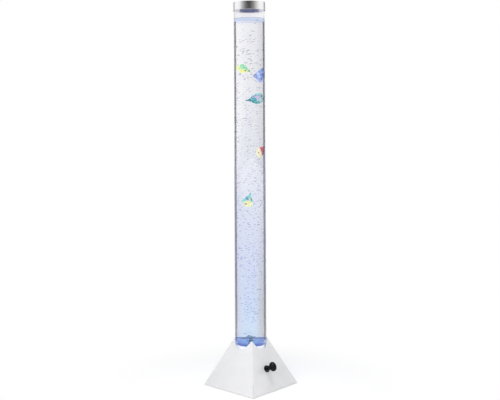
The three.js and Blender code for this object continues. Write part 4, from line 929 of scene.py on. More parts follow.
@dataclass
class Studio:
    """The camera, the lamps, the white surroundings and the floor."""

    azimuth: float = -48.1
    distance: float = 2.71
    height: float = 0.835
    lens: float = 60.98
    shift_x: float = 0.0005
    shift_y: float = -0.154
    roll: float = -0.25
    floor_half: float = 12.0
    sky: float = 0.38
    ceiling_start: float = 0.7
    ceiling_full: float = 0.9
    aim_height: float = 0.5

    def towards_camera(self) -> Vector:
        """Gives the level direction from the lamp to the camera."""
        angle = math.radians(self.azimuth)
        return Vector((math.sin(angle), -math.cos(angle), 0.0))

    def build_camera(self) -> None:
        """Stands the camera level, at the photograph's place."""
        data = bpy.data.cameras.new("camera")
        data.lens = self.lens
        data.shift_x = self.shift_x
        data.shift_y = self.shift_y
        camera = placed("camera", data)
        camera.location = self.towards_camera() * self.distance + Vector((0.0, 0.0, self.height))
        turn = Matrix.Rotation(math.radians(self.azimuth), 3, "Z") @ Matrix.Rotation(math.radians(90), 3, "X")
        camera.rotation_euler = (turn @ Matrix.Rotation(math.radians(self.roll), 3, "Z")).to_euler()
        bpy.context.scene.camera = camera

    def build_surroundings(self) -> None:
        """Makes a white room in which gloss and glass see dimmer zones, like a photographer's flags."""
        world = bpy.data.worlds.new("white_room")
        world.use_nodes = True
        bpy.context.scene.world = world
        wires = Wiring(world.node_tree)
        way = wires.add("TexCoord").outputs["Generated"]
        away = -self.towards_camera()
        ahead = wires.measure("DOT_PRODUCT", way, away)
        across = wires.measure("DOT_PRODUCT", way, Vector((away.y, -away.x, 0.0)))
        share = wires.math("MULTIPLY_ADD", wires.math("ARCTAN2", across, ahead), 0.5 / math.pi, 0.5)
        shown_by_gloss, shown_by_glass = (
            wires.ramp(share, [(degrees / 360 + 0.5, tone) for degrees, tone in tones])
            for tones in (ROOM_TONES, THROUGH_TONES)
        )
        path = wires.add("LightPath").outputs
        walls = wires.mix(path["Is Transmission Ray"], shown_by_gloss, shown_by_glass)
        lift = wires.math("ABSOLUTE", wires.part(way, "Z"))
        room = wires.mix(wires.between(lift, self.ceiling_start, self.ceiling_full), walls, WHITE)
        seen = wires.mix(path["Is Camera Ray"], room, WHITE)
        shown = wires.add("Background", {"Color": seen, "Strength": 1.0})
        plain = wires.add("Background", {"Color": WHITE, "Strength": self.sky})
        mirrored = wires.math("MAXIMUM", path["Is Glossy Ray"], path["Is Transmission Ray"])
        factor = wires.math("MAXIMUM", path["Is Camera Ray"], mirrored)
        wires.surface(wires.blend(factor, plain, shown), "OutputWorld")
        world.cycles.sampling_method = "NONE"

    def build_lamp(self, name: str, turn: float, lift: float, away: float, size: float, power: float) -> None:
        """Hangs one large soft lamp that looks at the tube.

        Args:
            name: the lamp's name.
            turn: degrees round from the camera, leftward as the camera sees it.
            lift: its height.
            away: its distance from the tube.
            size: the side of its square face.
            power: its watts.
        """
        data = bpy.data.lights.new(name, "AREA")
        data.size = size
        data.energy = power
        side = Matrix.Rotation(math.radians(-turn), 3, "Z") @ self.towards_camera()
        lamp = hung(name, data, side * away + Vector((0.0, 0.0, lift)))
        aim = Vector((0.0, 0.0, self.aim_height)) - lamp.location
        lamp.rotation_euler = aim.to_track_quat("-Z", "Y").to_euler()

    def build_floor(self) -> None:
        """Lays the floor."""
        corners = [(x * self.floor_half, y * self.floor_half, 0) for x, y in CORNERS]
        floor = to_object("floor", corners, [(0, 1, 2, 3)])
        coated(floor, FloorFinish().make())

    def build(self) -> None:
        """Builds the whole studio."""
        self.build_camera()
        self.build_surroundings()
        self.build_lamp("front", turn=8, lift=0.42, away=0.62, size=0.4, power=1.85)
        self.build_lamp("fill", turn=-62, lift=1.2, away=2.4, size=1.4, power=1.0)
        self.build_lamp("top", turn=10, lift=2.9, away=0.4, size=1.5, power=36.0)
        self.build_floor()
        bpy.context.scene.view_settings.view_transform = "Standard"


@dataclass
class Column:
    """The clear tube with its water, bubbles and lit floor."""

    sides: int = 192
    overlap: float = 0.00006
    water_level: float = 1.167
    meniscus: float = 0.0008
    meniscus_steps: int = 8
    bubble_count: int = 1200
    finest_bubble: float = 0.0009
    round_bubble: float = 0.0015
    largest_low_bubble: float = 0.0021
    largest_bubble: float = 0.0043
    bubble_wall_gap: float = 0.0008
    small_bias: float = 1.6
    low_bias: float = 1.05
    plume_foot: float = 0.4
    flattest: float = 0.24
    fullest: float = 0.46
    widest: float = 1.15
    leaning: float = 0.6
    bubble_start: float = 0.016
    bubble_end: float = 0.006
    plume_height: float = 0.45
    nozzle_hole: float = 0.0053
    glow_height: float = 0.19
    glow_size: float = 0.012
    glow_power: float = 0.16
    seed: int = 11

    def __post_init__(self) -> None:
        """Reads the tube's own sizes and the lanes of the fish from the frame."""
        low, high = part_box("acrylic_tube")
        floor_low, floor_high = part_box("water_floor")
        self.low, self.high, self.radius = low.z, high.z, high.x
        self.bore = floor_high.x + CLEARANCE
        self.floor_low, self.floor_high = floor_low.z, floor_high.z
        self.fish_boxes = []
        for fish in SHOAL:
            low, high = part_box(fish.node)
            for shift in (0.0, *joint_of(body_of(fish.node))["range_m"]):
                lift = Vector((0.0, 0.0, shift))
                self.fish_boxes.append((low + lift, high + lift))

    def build_tube(self) -> None:
        """Draws the tube."""
        profile = ring_outline(self.bore, self.radius, self.low, self.high)
        tube = turned("clear_tube", eased(profile, 0.0005, 3), self.sides)
        coated(tube, ClearFinish().make())
        settle_normals(tube)
        install(tube, "lamp", "clear_acrylic", "acrylic_tube")

    def build_water(self) -> None:
        """Fills the tube, with the water drawn up a little at the wall."""
        radius = self.bore + self.overlap
        profile = [(0.0, self.floor_high + self.overlap), (radius, self.floor_high + self.overlap)]
        for i in range(self.meniscus_steps + 1):
            share = 1 - i / self.meniscus_steps
            lift = self.meniscus * share ** 3
            profile.append((radius - (1 - share) * self.meniscus * 2, self.water_level + lift))
        profile.append((0.0, self.water_level))
        water = turned("water", profile, self.sides)
        coated(water, WaterFinish().make(), ClearFinish("wet_contact", 1.0, WHITE, "fbfcfe").make())
        for face in water.data.polygons:
            face.material_index = 1 if face.normal.z < -LEVEL else 0
        settle_normals(water)
        install(water, "lamp", "clear_acrylic")

    def clear_of_fish(self, place: Vector, gap: float) -> bool:
        """Tells whether a bubble stands clear of every fish, at rest and at both ends of its lane.

        Args:
            place: the bubble's middle.
            gap: how far it must be from a fish.

        Returns:
            True if it is clear.
        """
        return not any(
            all(low[i] - gap < place[i] < high[i] + gap for i in range(3)) for low, high in self.fish_boxes
        )

    def bubble_places(self) -> list[tuple[Vector, float]]:
        """Scatters the bubbles, small over the nozzle and larger and closer together towards the top.

        Returns:
            The middle and the radius of each bubble.
        """
        dice = random.Random(self.seed)
        low, high = self.floor_high + self.bubble_start, self.water_level - self.bubble_end
        kept: list[tuple[Vector, float]] = []
        grid: dict[tuple[int, int, int], list[tuple[Vector, float]]] = {}
        cell = self.largest_bubble * 2.2
        while len(kept) < self.bubble_count:
            share = dice.random() ** self.low_bias
            largest = settled(share, self.largest_low_bubble, self.largest_bubble)
            size = settled(dice.random() ** self.small_bias, self.finest_bubble, largest)
            spread = settled(min(share / self.plume_height, 1.0), self.plume_foot, 1.0)
            reach = (self.bore - size - self.bubble_wall_gap) * spread * math.sqrt(dice.random())
            angle = dice.random() * 2 * math.pi
            place = Vector((reach * math.cos(angle), reach * math.sin(angle), settled(share, low, high)))
            key = tuple(int(v // cell) for v in place)
            near = [
                other
                for x in (-1, 0, 1) for y in (-1, 0, 1) for z in (-1, 0, 1)
                for other in grid.get((key[0] + x, key[1] + y, key[2] + z), [])
            ]
            crowded = any((place - other).length < size + radius + CLEARANCE for other, radius in near)
            if not crowded and self.clear_of_fish(place, size):
                kept.append((place, size))
                grid.setdefault(key, []).append((place, size))
        return kept

    def build_bubbles(self) -> None:
        """Makes every bubble a flattened ball of air, its skin facing inward."""
        dice = random.Random(self.seed + 1)
        balls = {}
        for level in (2, 3):
            work = bmesh.new()
            bmesh.ops.create_icosphere(work, subdivisions=level, radius=1.0)
            work.verts.ensure_lookup_table()
            corners = [v.co.copy() for v in work.verts]
            balls[level] = corners, [tuple(v.index for v in reversed(f.verts)) for f in work.faces]
            work.free()
        shapes: list[Shape] = []
        for place, size in self.bubble_places():
            corners, sides = balls[3 if size > self.round_bubble else 2]
            squashed = size * settled(dice.random(), self.flattest, self.fullest)
            width = size * settled(dice.random(), 0.95, self.widest)
            flat = Matrix.Diagonal((size * self.widest, width, squashed))
            tip, roll = (Matrix.Rotation(dice.uniform(-self.leaning, self.leaning), 3, axis) for axis in "XY")
            turn = tip @ roll
            shapes.append(([place + turn @ (flat @ corner) for corner in corners], sides))
        points, faces = gathered(shapes)
        mesh = bpy.data.meshes.new("bubbles")
        mesh.from_pydata(points, [], faces)
        smooth(mesh, 180.0)
        bubbles = placed("bubbles", mesh)
        coated(bubbles, BubbleFinish().make())
        install(bubbles, "lamp", "clear_acrylic")

    def build_lit_floor(self) -> None:
        """Makes the thick clear disc that closes the water from below, frosted underneath."""
        hole = self.nozzle_hole
        profile = ring_outline(hole, self.bore - CLEARANCE, self.floor_low, self.floor_high)
        disc = turned("clear_floor", eased(profile, 0.0006, 3), self.sides)
        finishes = LitAcrylic("clear_floor", 1.49), FrostedFinish(), LitAcrylic("wet_floor_top", 1.118)
        coated(disc, *(finish.make() for finish in finishes))
        for face in disc.data.polygons:
            up = face.normal.z
            wet = up > LEVEL or math.hypot(face.center.x, face.center.y) < hole * 1.2
            face.material_index = 1 if up < -LEVEL else (2 if wet else 0)
        settle_normals(disc)
        install(disc, "lamp", "clear_acrylic", "water_floor")

    def build_glow(self) -> None:
        """Puts the light of the four packages into the water, as one small cyan lamp that nothing shows."""
        data = bpy.data.lights.new("glow", "POINT")
        data.energy = self.glow_power
        data.color = paint("8fdcff")[:3]
        data.shadow_soft_size = self.glow_size
        hung("glow", data, Vector((0.0, 0.0, self.glow_height)))

    def build(self) -> None:
        """Builds the column."""
        sunk = ClearFinish("sunk_acrylic", 1.05, "fafdff", "eef6fd").make()
        for name in ("air_diffuser", "air_nozzle"):
            finish_packed(name, sunk)
        self.build_tube()
        self.build_water()
        self.build_bubbles()
        self.build_lit_floor()
        self.build_glow()


# The fish are seen broadside, so they have the camera's turn. Their shares are of these sizes.
LANE_TURN = math.radians(-48.1)
FISH_LENGTH = 0.049
FISH_HEIGHT = 0.046
FISH_THICKNESS = 0.009


@dataclass(frozen=True)
class Fish:
    """One fish: its outline in shares of its size, its turn and its colours."""

    node: str
    facing: int
    tilt: float
    size_shares: tuple[float, float, float]
    body_shares: tuple[tuple[float, float, float, float], ...]
    fin_shares: tuple[tuple[float, float], ...]
    eye_shares: tuple[float, float, float]
    skin: str
    patches: tuple[Patch, ...]
    iris: str
    pupil: str
    fleck: str = PLAIN_FLECK
    flecked: float = 0.0
    fin_sheet: float = 0.0014
    fin_rings: int = 5
    fin_edge: float = 0.35
    rib_depth: float = 0.28
    dot_bulge: float = 0.0016
    pupil_bulge: float = 0.0009
    ring: int = 28
    steps: int = 5

    def size(self) -> tuple[float, float, float]:
        """Gives the fish's length, thickness and height."""
        length, tall, thick = self.size_shares
        return (length * FISH_LENGTH, thick * FISH_THICKNESS, tall * FISH_HEIGHT)

    def turn(self) -> tuple[float, float, float]:
        """Gives the fish's turn about its three axes."""
        return (0.0, math.radians(self.tilt), LANE_TURN + (0.0 if self.facing > 0 else math.pi))

    def body(self) -> Shape:
        """Lofts the body through smooth oval sections.

        Returns:
            Points and faces about the fish's own middle.
        """
        length, thick, tall = self.size()
        rows = smoothed(self.body_shares, self.steps, closed=False)
        points = []
        for along, high, low, side in rows:
            for i in range(self.ring):
                angle = 2 * math.pi * i / self.ring
                squeeze = 1 - FLANK_SQUEEZE * abs(math.sin(angle)) ** 3
                points.append(Vector((
                    along * length,
                    side * thick * math.cos(angle) * squeeze,
                    (high + low) / 2 * tall + (high - low) / 2 * tall * math.sin(angle),
                )))
        faces: list[tuple[int, ...]] = [tuple(range(self.ring))]
        for start in range(0, (len(rows) - 1) * self.ring, self.ring):
            for i in range(self.ring):
                here, beside = start + i, start + (i + 1) % self.ring
                faces.append((here, beside, beside + self.ring, here + self.ring))
        last = (len(rows) - 1) * self.ring
        faces.append(tuple(last + i for i in reversed(range(self.ring))))
        return points, faces

    def fins(self) -> Shape:
        """Makes the sheet of fins and tail, thinner towards its edge and ribbed.

        Returns:
            Points and faces about the fish's own middle.
        """
        length, _, tall = self.size()
        edge = smoothed(self.fin_shares, self.steps, closed=True)
        count = len(edge)
        rings = self.fin_rings
        points = []
        for side in (1, -1):
            for ring in range(rings):
                reach = 1 - ring / rings
                sheet_half = self.fin_sheet / 2 * settled(1 - reach, self.fin_edge, 1.0)
                for i, (along, up) in enumerate(edge):
                    rib = 0.5 + 0.5 * math.cos(math.pi * i)
                    half = sheet_half * settled(rib, 1 - self.rib_depth, 1.0)
                    points.append(Vector((along * length * reach, side * half, up * tall * reach)))
            points.append(Vector((0.0, side * self.fin_sheet / 2, 0.0)))
        faces = []
        sheet = rings * count + 1
        for i in range(count):
            k = (i + 1) % count
            faces.append((i, k, sheet + k, sheet + i))
            for side in (0, 1):
                base = side * sheet
                rows = [base + ring * count for ring in range(rings)]
                panels = [(low + i, low + k, high + k, high + i) for low, high in zip(rows, rows[1:])]
                panels.append((rows[-1] + i, rows[-1] + k, base + rings * count))
                faces += panels if side else [panel[::-1] for panel in panels]
        return points, faces

    def eye(self, side: int, grow: float) -> Shape:
        """Makes one bulging disc of an eye.

        Args:
            side: 1 or -1, for the two sides of the head.
            grow: its size beside the pupil's.

        Returns:
            Points and faces about the fish's own middle.
        """
        length, thick, tall = self.size()
        along, up, radius_share = self.eye_shares
        radius = radius_share * tall * grow
        work = bmesh.new()
        bmesh.ops.create_uvsphere(work, u_segments=20, v_segments=10, radius=1.0)
        work.verts.ensure_lookup_table()
        depth = settled(grow, self.dot_bulge, self.pupil_bulge)
        seat = self.half_thickness(along, up) * thick
        middle = Vector((along * length, side * seat, up * tall))
        points = [
            middle + Vector((v.co.x * radius, side * v.co.y * depth, v.co.z * radius)) for v in work.verts
        ]
        faces = [tuple(v.index for v in f.verts) for f in work.faces]
        work.free()
        return points, faces

    def half_thickness(self, along: float, up: float) -> float:
        """Finds the body's half thickness at a place on its side, as a share of its thickness.

        Args:
            along: place along the length.
            up: place up the height.

        Returns:
            The share.
        """
        rows = smoothed(self.body_shares, self.steps, closed=False)
        _, high, low, side = min(rows, key=lambda r: abs(r[0] - along))
        lift = min(abs(up - (high + low) / 2) / max((high - low) / 2, 1e-4), 0.95)
        return side * math.sqrt(1 - lift ** 2) * (1 - FLANK_SQUEEZE * lift ** 3)

    def build(self) -> None:
        """Builds the fish as one piece and puts it in its lane."""
        low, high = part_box(self.node)
        centre = (low + high) / 2
        skin = FishFinish(
            self.node + "_skin", self.skin, self.patches, tuple(centre), self.size(), self.turn(), self.fleck,
            self.flecked,
        )
        # The eyes glow a little too, as painted light.
        iris, pupil = (
            Finish(self.node + part, tone, tone, 0.3, Grain.MOULDED, 900.0, 0.00002, glow=0.2)
            for part, tone in (("_iris", self.iris), ("_pupil", self.pupil))
        )
        lumps = [(self.body(), 0), (self.fins(), 0)]
        for side in (1, -1):
            lumps += [(self.eye(side, 1.55), 1), (self.eye(side, 1.0), 2)]
        piece = to_object(self.node + "_model", *gathered(shape for shape, _ in lumps), 50.0)
        kinds = [kind for (_, faces), kind in lumps for _ in faces]
        piece.data.polygons.foreach_set("material_index", kinds)
        coated(piece, skin.make(), iris.make(), pupil.make())
        _, tilt, yaw = self.turn()
        turn = Matrix.Rotation(yaw, 4, "Z") @ Matrix.Rotation(tilt, 4, "Y")
        moved(piece, Matrix.Translation(centre) @ turn)
        install(piece, body_of(self.node), self.node + "_paint", self.node)


def smoothed(rows: Sequence[Sequence[float]], steps: int, closed: bool) -> list[tuple[float, ...]]:
    """Draws a smooth line through rows of numbers.

    Args:
        rows: the rows, from first to last or going round.
        steps: how many rows take the place of one.
        closed: whether the line comes back to its start.

    Returns:
        The finer rows.
    """
    count = len(rows)
    finer = []
    for i in range(count if closed else count - 1):
        places = [(i + k) % count if closed else min(max(i + k, 0), count - 1) for k in (-1, 0, 1, 2)]
        finer += [spline([rows[place] for place in places], step / steps) for step in range(steps)]
    return finer if closed else [*finer, tuple(rows[-1])]


def spline(rows: Sequence[Sequence[float]], t: float) -> tuple[float, ...]:
    """Finds a point on the smooth line that passes the second and third of four rows.

    Args:
        rows: the four rows.
        t: how far along the stretch from the second to the third.

    Returns:
        The point.
    """
    point = []
    for before, start, end, after in zip(*rows, strict=True):
        leave, arrive = PULL * (end - before), PULL * (after - start)
        point.append(
            (2 * t ** 3 - 3 * t ** 2 + 1) * start + (t ** 3 - 2 * t ** 2 + t) * leave
            + (-2 * t ** 3 + 3 * t ** 2) * end + (t ** 3 - t ** 2) * arrive
        )
    return tuple(point)


SHOAL: tuple[Fish, ...] = (
    Fish(
        "green_fish", 1, 20, (0.633, 0.587, 0.889),
        (
            (0.5, -0.04, -0.15, 0.06), (0.4, 0.05, -0.24, 0.24), (0.25, 0.19, -0.34, 0.42),
            (0.1, 0.31, -0.42, 0.5), (-0.05, 0.38, -0.39, 0.48), (-0.18, 0.34, -0.29, 0.36),
            (-0.27, 0.2, -0.2, 0.2), (-0.33, 0.12, -0.14, 0.12),
        ),
        (
            (0.32, 0.08), (0.2, 0.24), (0.08, 0.36), (-0.08, 0.45), (-0.2, 0.5), (-0.3, 0.4), (-0.29, 0.2),
            (-0.37, 0.15), (-0.5, 0.25), (-0.5, 0), (-0.43, -0.2), (-0.31, -0.17), (-0.2, -0.3),
            (-0.09, -0.42), (0.07, -0.5), (0.24, -0.37), (0.38, -0.26), (0.42, -0.1),
        ),
        (0.19, -0.17, 0.052), "9fe2b0",
        (
            Patch(0.02, -0.36, 0.3, "eef596", 1.5), Patch(0.3, -0.22, 0.14, "e2f09c", 1.4),
            Patch(-0.45, 0.02, 0.2, "eff3a2"), Patch(-0.24, 0.42, 0.14, "78d894"),
            Patch(-0.02, 0.17, 0.055, "3f9a76"), Patch(0.14, 0.18, 0.055, "4a8f86"),
            Patch(0.48, -0.1, 0.1, "3f5f50"),
        ),
        "dfe69a", "33261e",
    ),
    Fish(
        "blue_fish", -1, 0, (0.571, 0.978, 0.889),
        (
            (0.5, -0.02, -0.08, 0.06), (0.4, 0.06, -0.16, 0.25), (0.24, 0.17, -0.26, 0.42),
            (0.06, 0.28, -0.34, 0.5), (-0.12, 0.32, -0.32, 0.42), (-0.25, 0.2, -0.2, 0.26),
            (-0.34, 0.08, -0.08, 0.14),
        ),
        (
            (0.3, 0.1), (0.14, 0.24), (-0.04, 0.38), (-0.24, 0.5), (-0.36, 0.46), (-0.3, 0.26),
            (-0.3, 0.08), (-0.38, 0.06), (-0.5, 0.16), (-0.46, 0), (-0.5, -0.16), (-0.38, -0.06),
            (-0.3, -0.08), (-0.3, -0.3), (-0.22, -0.47), (0, -0.5), (0.12, -0.4), (0.26, -0.22),
            (0.38, -0.1),
        ),
        (0.3, 0.0, 0.03), "6e90da",
        (
            Patch(0.05, 0.1, 0.14, "b6c3ea"), Patch(0.1, -0.37, 0.12, "a9b8ee"),
            Patch(0.0, -0.1, 0.09, "aed0e6", 1.5), Patch(-0.28, -0.06, 0.19, "3f66cc"),
            Patch(-0.19, -0.31, 0.08, "2f6498"), Patch(0.48, -0.05, 0.12, "34458f"),
            Patch(-0.06, 0.3, 0.08, "7d9ae6"), Patch(-0.28, 0.44, 0.12, "4a70cc"),
        ),
        "c6d4f4", "2a3570", "b9c6ea", 0.6,
    ),
    Fish(
        "teal_fish", -1, 0, (1.0, 0.761, 1.0),
        (
            (0.5, -0.14, -0.2, 0.08), (0.4, -0.1, -0.23, 0.16), (0.3, 0.02, -0.27, 0.32),
            (0.14, 0.28, -0.36, 0.46), (-0.04, 0.41, -0.43, 0.5), (-0.2, 0.4, -0.38, 0.42),
            (-0.33, 0.2, -0.22, 0.24), (-0.4, 0.08, -0.1, 0.12),
        ),
        (
            (0.24, 0.08), (0.14, 0.3), (-0.04, 0.46), (-0.2, 0.5), (-0.34, 0.42), (-0.38, 0.24),
            (-0.36, 0.08), (-0.42, 0.07), (-0.5, 0.22), (-0.48, 0), (-0.5, -0.22), (-0.42, -0.07),
            (-0.36, -0.08), (-0.38, -0.26), (-0.24, -0.42), (-0.06, -0.5), (0.12, -0.4), (0.26, -0.26),
            (0.3, -0.1),
        ),
        (0.265, -0.14, 0.062), "8ed0d0",
        (
            Patch(-0.18, 0.0, 0.2, "c2c5d4"), Patch(-0.06, 0.2, 0.1, "c8a8d8", 1.8),
            Patch(-0.06, -0.43, 0.16, "46a8a6", 1.7), Patch(0.1, -0.28, 0.12, "2f9ca6"),
            Patch(0.06, -0.06, 0.13, "36a8b0"), Patch(-0.03, -0.15, 0.12, "4a8a9c", 0.35),
            Patch(-0.31, 0.17, 0.11, "40686c", 0.4), Patch(0.11, 0.21, 0.045, "585a98"),
            Patch(0.3, 0.0, 0.05, "8a6aa8"), Patch(-0.01, 0.29, 0.04, "5a5c90"),
            Patch(-0.18, 0.28, 0.04, "6a6490"), Patch(0.2, 0.12, 0.04, "7a70a8"),
            Patch(0.42, -0.17, 0.11, "4f9ca2"), Patch(0.49, -0.17, 0.05, "2a545c"),
            Patch(-0.42, 0.0, 0.12, "8fb4b8"),
        ),
        "4f86ae", "12246e", "4a6a7c", 0.6,
    ),
    Fish(
        "red_fish", -1, -8, (0.592, 0.804, 0.889),
        (
            (0.5, 0.02, -0.07, 0.06), (0.4, 0.12, -0.17, 0.26), (0.25, 0.29, -0.3, 0.44),
            (0.05, 0.41, -0.37, 0.5), (-0.15, 0.36, -0.32, 0.4), (-0.28, 0.2, -0.2, 0.24),
            (-0.35, 0.1, -0.1, 0.14),
        ),
        (
            (0.3, 0.26), (0.16, 0.38), (-0.04, 0.48), (-0.2, 0.5), (-0.32, 0.44), (-0.32, 0.24),
            (-0.3, 0.1), (-0.37, 0.08), (-0.5, 0.24), (-0.46, 0), (-0.5, -0.24), (-0.37, -0.08),
            (-0.3, -0.1), (-0.3, -0.26), (-0.16, -0.36), (0.1, -0.5), (0.22, -0.36), (0.34, -0.2),
        ),
        (0.16, -0.06, 0.04), "f3edc4",
        (
            Patch(-0.02, 0.44, 0.15, "dc5a72", 1.9), Patch(-0.28, 0.26, 0.3, "d23c56"),
            Patch(-0.36, 0.0, 0.2, "cc4860"), Patch(-0.17, 0.22, 0.08, "3c2632"),
            Patch(-0.3, 0.06, 0.07, "4a2834"), Patch(-0.27, -0.17, 0.11, "6a3036"),
            Patch(0.12, -0.4, 0.12, "e6ecb4"), Patch(-0.02, 0.05, 0.08, "ecd2b4"),
            Patch(0.49, -0.02, 0.09, "b9a99c"),
        ),
        "e6c8d0", "9a6a96",
    ),
    Fish(
        "turquoise_fish", -1, 0, (0.633, 1.0, 0.889),
        (
            (0.5, -0.07, -0.14, 0.07), (0.4, -0.01, -0.24, 0.26), (0.24, 0.09, -0.35, 0.44),
            (0.06, 0.19, -0.41, 0.5), (-0.12, 0.25, -0.4, 0.44), (-0.27, 0.2, -0.32, 0.3),
            (-0.37, 0.08, -0.22, 0.18), (-0.43, 0.0, -0.16, 0.1),
        ),
        (
            (0.34, 0.0), (0.12, 0.16), (-0.12, 0.33), (-0.36, 0.5), (-0.32, 0.28), (-0.4, 0.12),
            (-0.49, 0.02), (-0.5, -0.16), (-0.46, -0.32), (-0.42, -0.48), (-0.15, -0.5), (0.1, -0.45),
            (0.32, -0.32), (0.42, -0.18),
        ),
        (0.12, -0.27, 0.045), "86d6ce",
        (
            Patch(-0.06, -0.3, 0.26, "f4f6b4", 1.5), Patch(-0.38, -0.28, 0.15, "f2f6b2"),
            Patch(0.34, -0.2, 0.1, "d8ecb0"), Patch(-0.18, -0.03, 0.12, "f2deb8"),
            Patch(0.05, 0.12, 0.09, "4a7fb0"), Patch(-0.08, 0.05, 0.06, "43708e"),
            Patch(-0.38, 0.03, 0.11, "6b6a4c", 0.4), Patch(-0.3, 0.42, 0.12, "5cbdb4"),
        ),
        "dcb6bc", "8a5a78",
    ),
)


@dataclass
class Cap:
    """The satin metal cap."""

    sides: int = 192
    wall: float = 0.0021
    roof: float = 0.0015
    edge: float = 0.0012

    def build(self, metal: Material, painted_inner_shade: Material) -> None:
        """Turns the cap, with slate blue painted shade inside.

        Args:
            metal: the outside's finish.
            painted_inner_shade: the inside's finish.
        """
        low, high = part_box("top_cap")
        inner = high.x - self.wall
        inside = [(inner, high.z - self.roof), (inner, low.z)]
        outside = [(high.x, low.z), (high.x, high.z)]
        shape = [(0.0, high.z), (0.0, high.z - self.roof)] + eased(inside + outside, self.edge, 5)
        cap = turned("satin_cap", shape, self.sides)
        coated(cap, metal, painted_inner_shade)
        for face in cap.data.polygons:
            middle = face.center
            ceiling = middle.z < high.z - self.roof / 2 and math.hypot(middle.x, middle.y) < inner - self.edge
            # The ceiling faces take the painted shade.
            face.material_index = 1 if ceiling else 0
        settle_normals(cap)
        install(cap, "cap", "satin_metal", "top_cap")


@dataclass
class Base:
    """The folded and painted pyramid that hides the works."""

    sheet: float = 0.0015
    flange: float = 0.014
    opening_radius: float = 0.0508
    apex: float = 0.2295
    fold: float = 0.0016
    vent_count: int = 7
    vent_width: float = 0.003
    vent_length: float = 0.022
    vent_pitch: float = 0.009
    vent_height: float = 0.046
    seam_width: float = 0.0007
    seam_height: float = 0.058
    notch_radius: float = 0.0018
    knob_hole: float = 0.0045
    inlet_hole: float = 0.0058
    inlet_height: float = 0.024
    screw_hole: float = 0.0017
    overrun: float = 0.005
    rim_slack: float = 0.0002

    def __post_init__(self) -> None:
        """Reads the shell's own sizes from the frame."""
        low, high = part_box("base_shell")
        self.low, self.top, self.half = low.z, high.z, high.x
        self.lean = math.atan(self.half / (self.apex - self.low))

    def half_width(self, height: float, inset: float) -> float:
        """Gives half the pyramid's width at a height, with its faces moved in by an inset."""
        return (self.apex - height) * math.tan(self.lean) - inset / math.cos(self.lean)

    def frustum(self, name: str, low: float, high: float, inset: float) -> Piece:
        """Makes a stretch of the pyramid.

        Args:
            name: its name.
            low: its lowest height.
            high: its highest height.
            inset: how far its faces are moved in.

        Returns:
            The solid.
        """
        points = []
        for height in (low, high):
            half = self.half_width(height, inset)
            points += [(x * half, y * half, height) for x, y in CORNERS]
        faces = [(3, 2, 1, 0), (4, 5, 6, 7)] + [(i, (i + 1) % 4, (i + 1) % 4 + 4, i + 4) for i in range(4)]
        return to_object(name, points, faces)

    def folded(self) -> Piece:
        """Makes the outside of the shell with its folds rounded.

        Returns:
            The solid.
        """
        shell = self.frustum("painted_shell", self.low, self.top + self.overrun, 0.0)
        work = bmesh.new()
        work.from_mesh(shell.data)
        folds = [e for e in work.edges if abs(e.verts[0].co.z - e.verts[1].co.z) > self.overrun]
        bmesh.ops.bevel(work, geom=folds, offset=self.fold, segments=6, profile=0.5, affect="EDGES")
        rim = [e for e in work.edges if all(v.co.z < self.low + self.overrun for v in e.verts)]
        bmesh.ops.bevel(work, geom=rim, offset=self.sheet / 3, segments=3, profile=0.5, affect="EDGES")
        work.to_mesh(shell.data)
        work.free()
        return shell

    def on_face(self, along: float, height: float) -> Matrix:
        """Gives the axes of the -Y face at a place along X and a height, with Z out of it."""
        place = Matrix.Translation((along, -self.half_width(height, 0.0), height))
        return place @ Matrix.Rotation(math.pi / 2 - self.lean, 4, "X")

    def bar(self, name: str, radius: float, low: float, high: float, sides: int = 48) -> Piece:
        """Makes a round upright cutter between two heights."""
        return turned(name, ring_outline(0.0, radius, low, high), sides)

    def vents(self) -> list[Piece]:
        """Makes the round-ended cutters of the rear slots.

        Returns:
            The cutters.
        """
        cutters = []
        half_turn = Matrix.Rotation(math.pi, 4, "Z")
        straight = self.vent_length / 2 - self.vent_width / 2
        reach = self.sheet + self.overrun
        for i in range(self.vent_count):
            along = (i - (self.vent_count - 1) / 2) * self.vent_pitch
            slot = self.bar(f"vent_{i}", self.vent_width / 2, -reach, reach, 24)
            for corner in slot.data.vertices:
                corner.co.y += math.copysign(straight, corner.co.y) if abs(corner.co.y) > 1e-6 else straight
                corner.co.x += along
            cutters.append(moved(slot, half_turn @ self.on_face(0.0, self.vent_height)))
        return cutters

    def holes(self) -> list[Piece]:
        """Makes the cutters of the knob's, the inlet's and the screws' holes and of the seam.

        Returns:
            The cutters.
        """
        reach = self.sheet + self.overrun
        half_turn = Matrix.Rotation(math.pi, 4, "Z")
        low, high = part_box("power_inlet")
        on_back = half_turn @ self.on_face(-(low + high).x / 2, self.inlet_height)
        knob = joint_of("knob")["pos_m"]
        cutters = [
            moved(self.bar("knob_hole", self.knob_hole, -reach, reach), self.on_face(knob[0], knob[2])),
            moved(self.bar("inlet_hole", self.inlet_hole, -reach, reach), on_back),
        ]
        foot = self.low + self.sheet + self.overrun
        for i in range(1, 5):
            low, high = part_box(f"corner_screw_{i}")
            hole = self.bar(f"screw_hole_{i}", self.screw_hole, 0.0, foot, 24)
            middle = (low + high) / 2
            cutters.append(moved(hole, Matrix.Translation((middle.x, middle.y, 0.0))))
        corner = self.half * math.sqrt(2)
        inner = corner - self.flange * math.sqrt(2) - self.overrun
        half = self.seam_width / 2
        slit = block("seam", (inner, -half, 0.0), (corner + self.overrun, half, self.seam_height))
        notch = self.bar("notch", self.notch_radius, 0.0, foot, 24)
        moved(notch, Matrix.Translation((corner, 0.0, 0.0)))
        to_front = Matrix.Rotation(math.radians(-135), 4, "Z")
        return cutters + [moved(slit, to_front), moved(notch, to_front)]

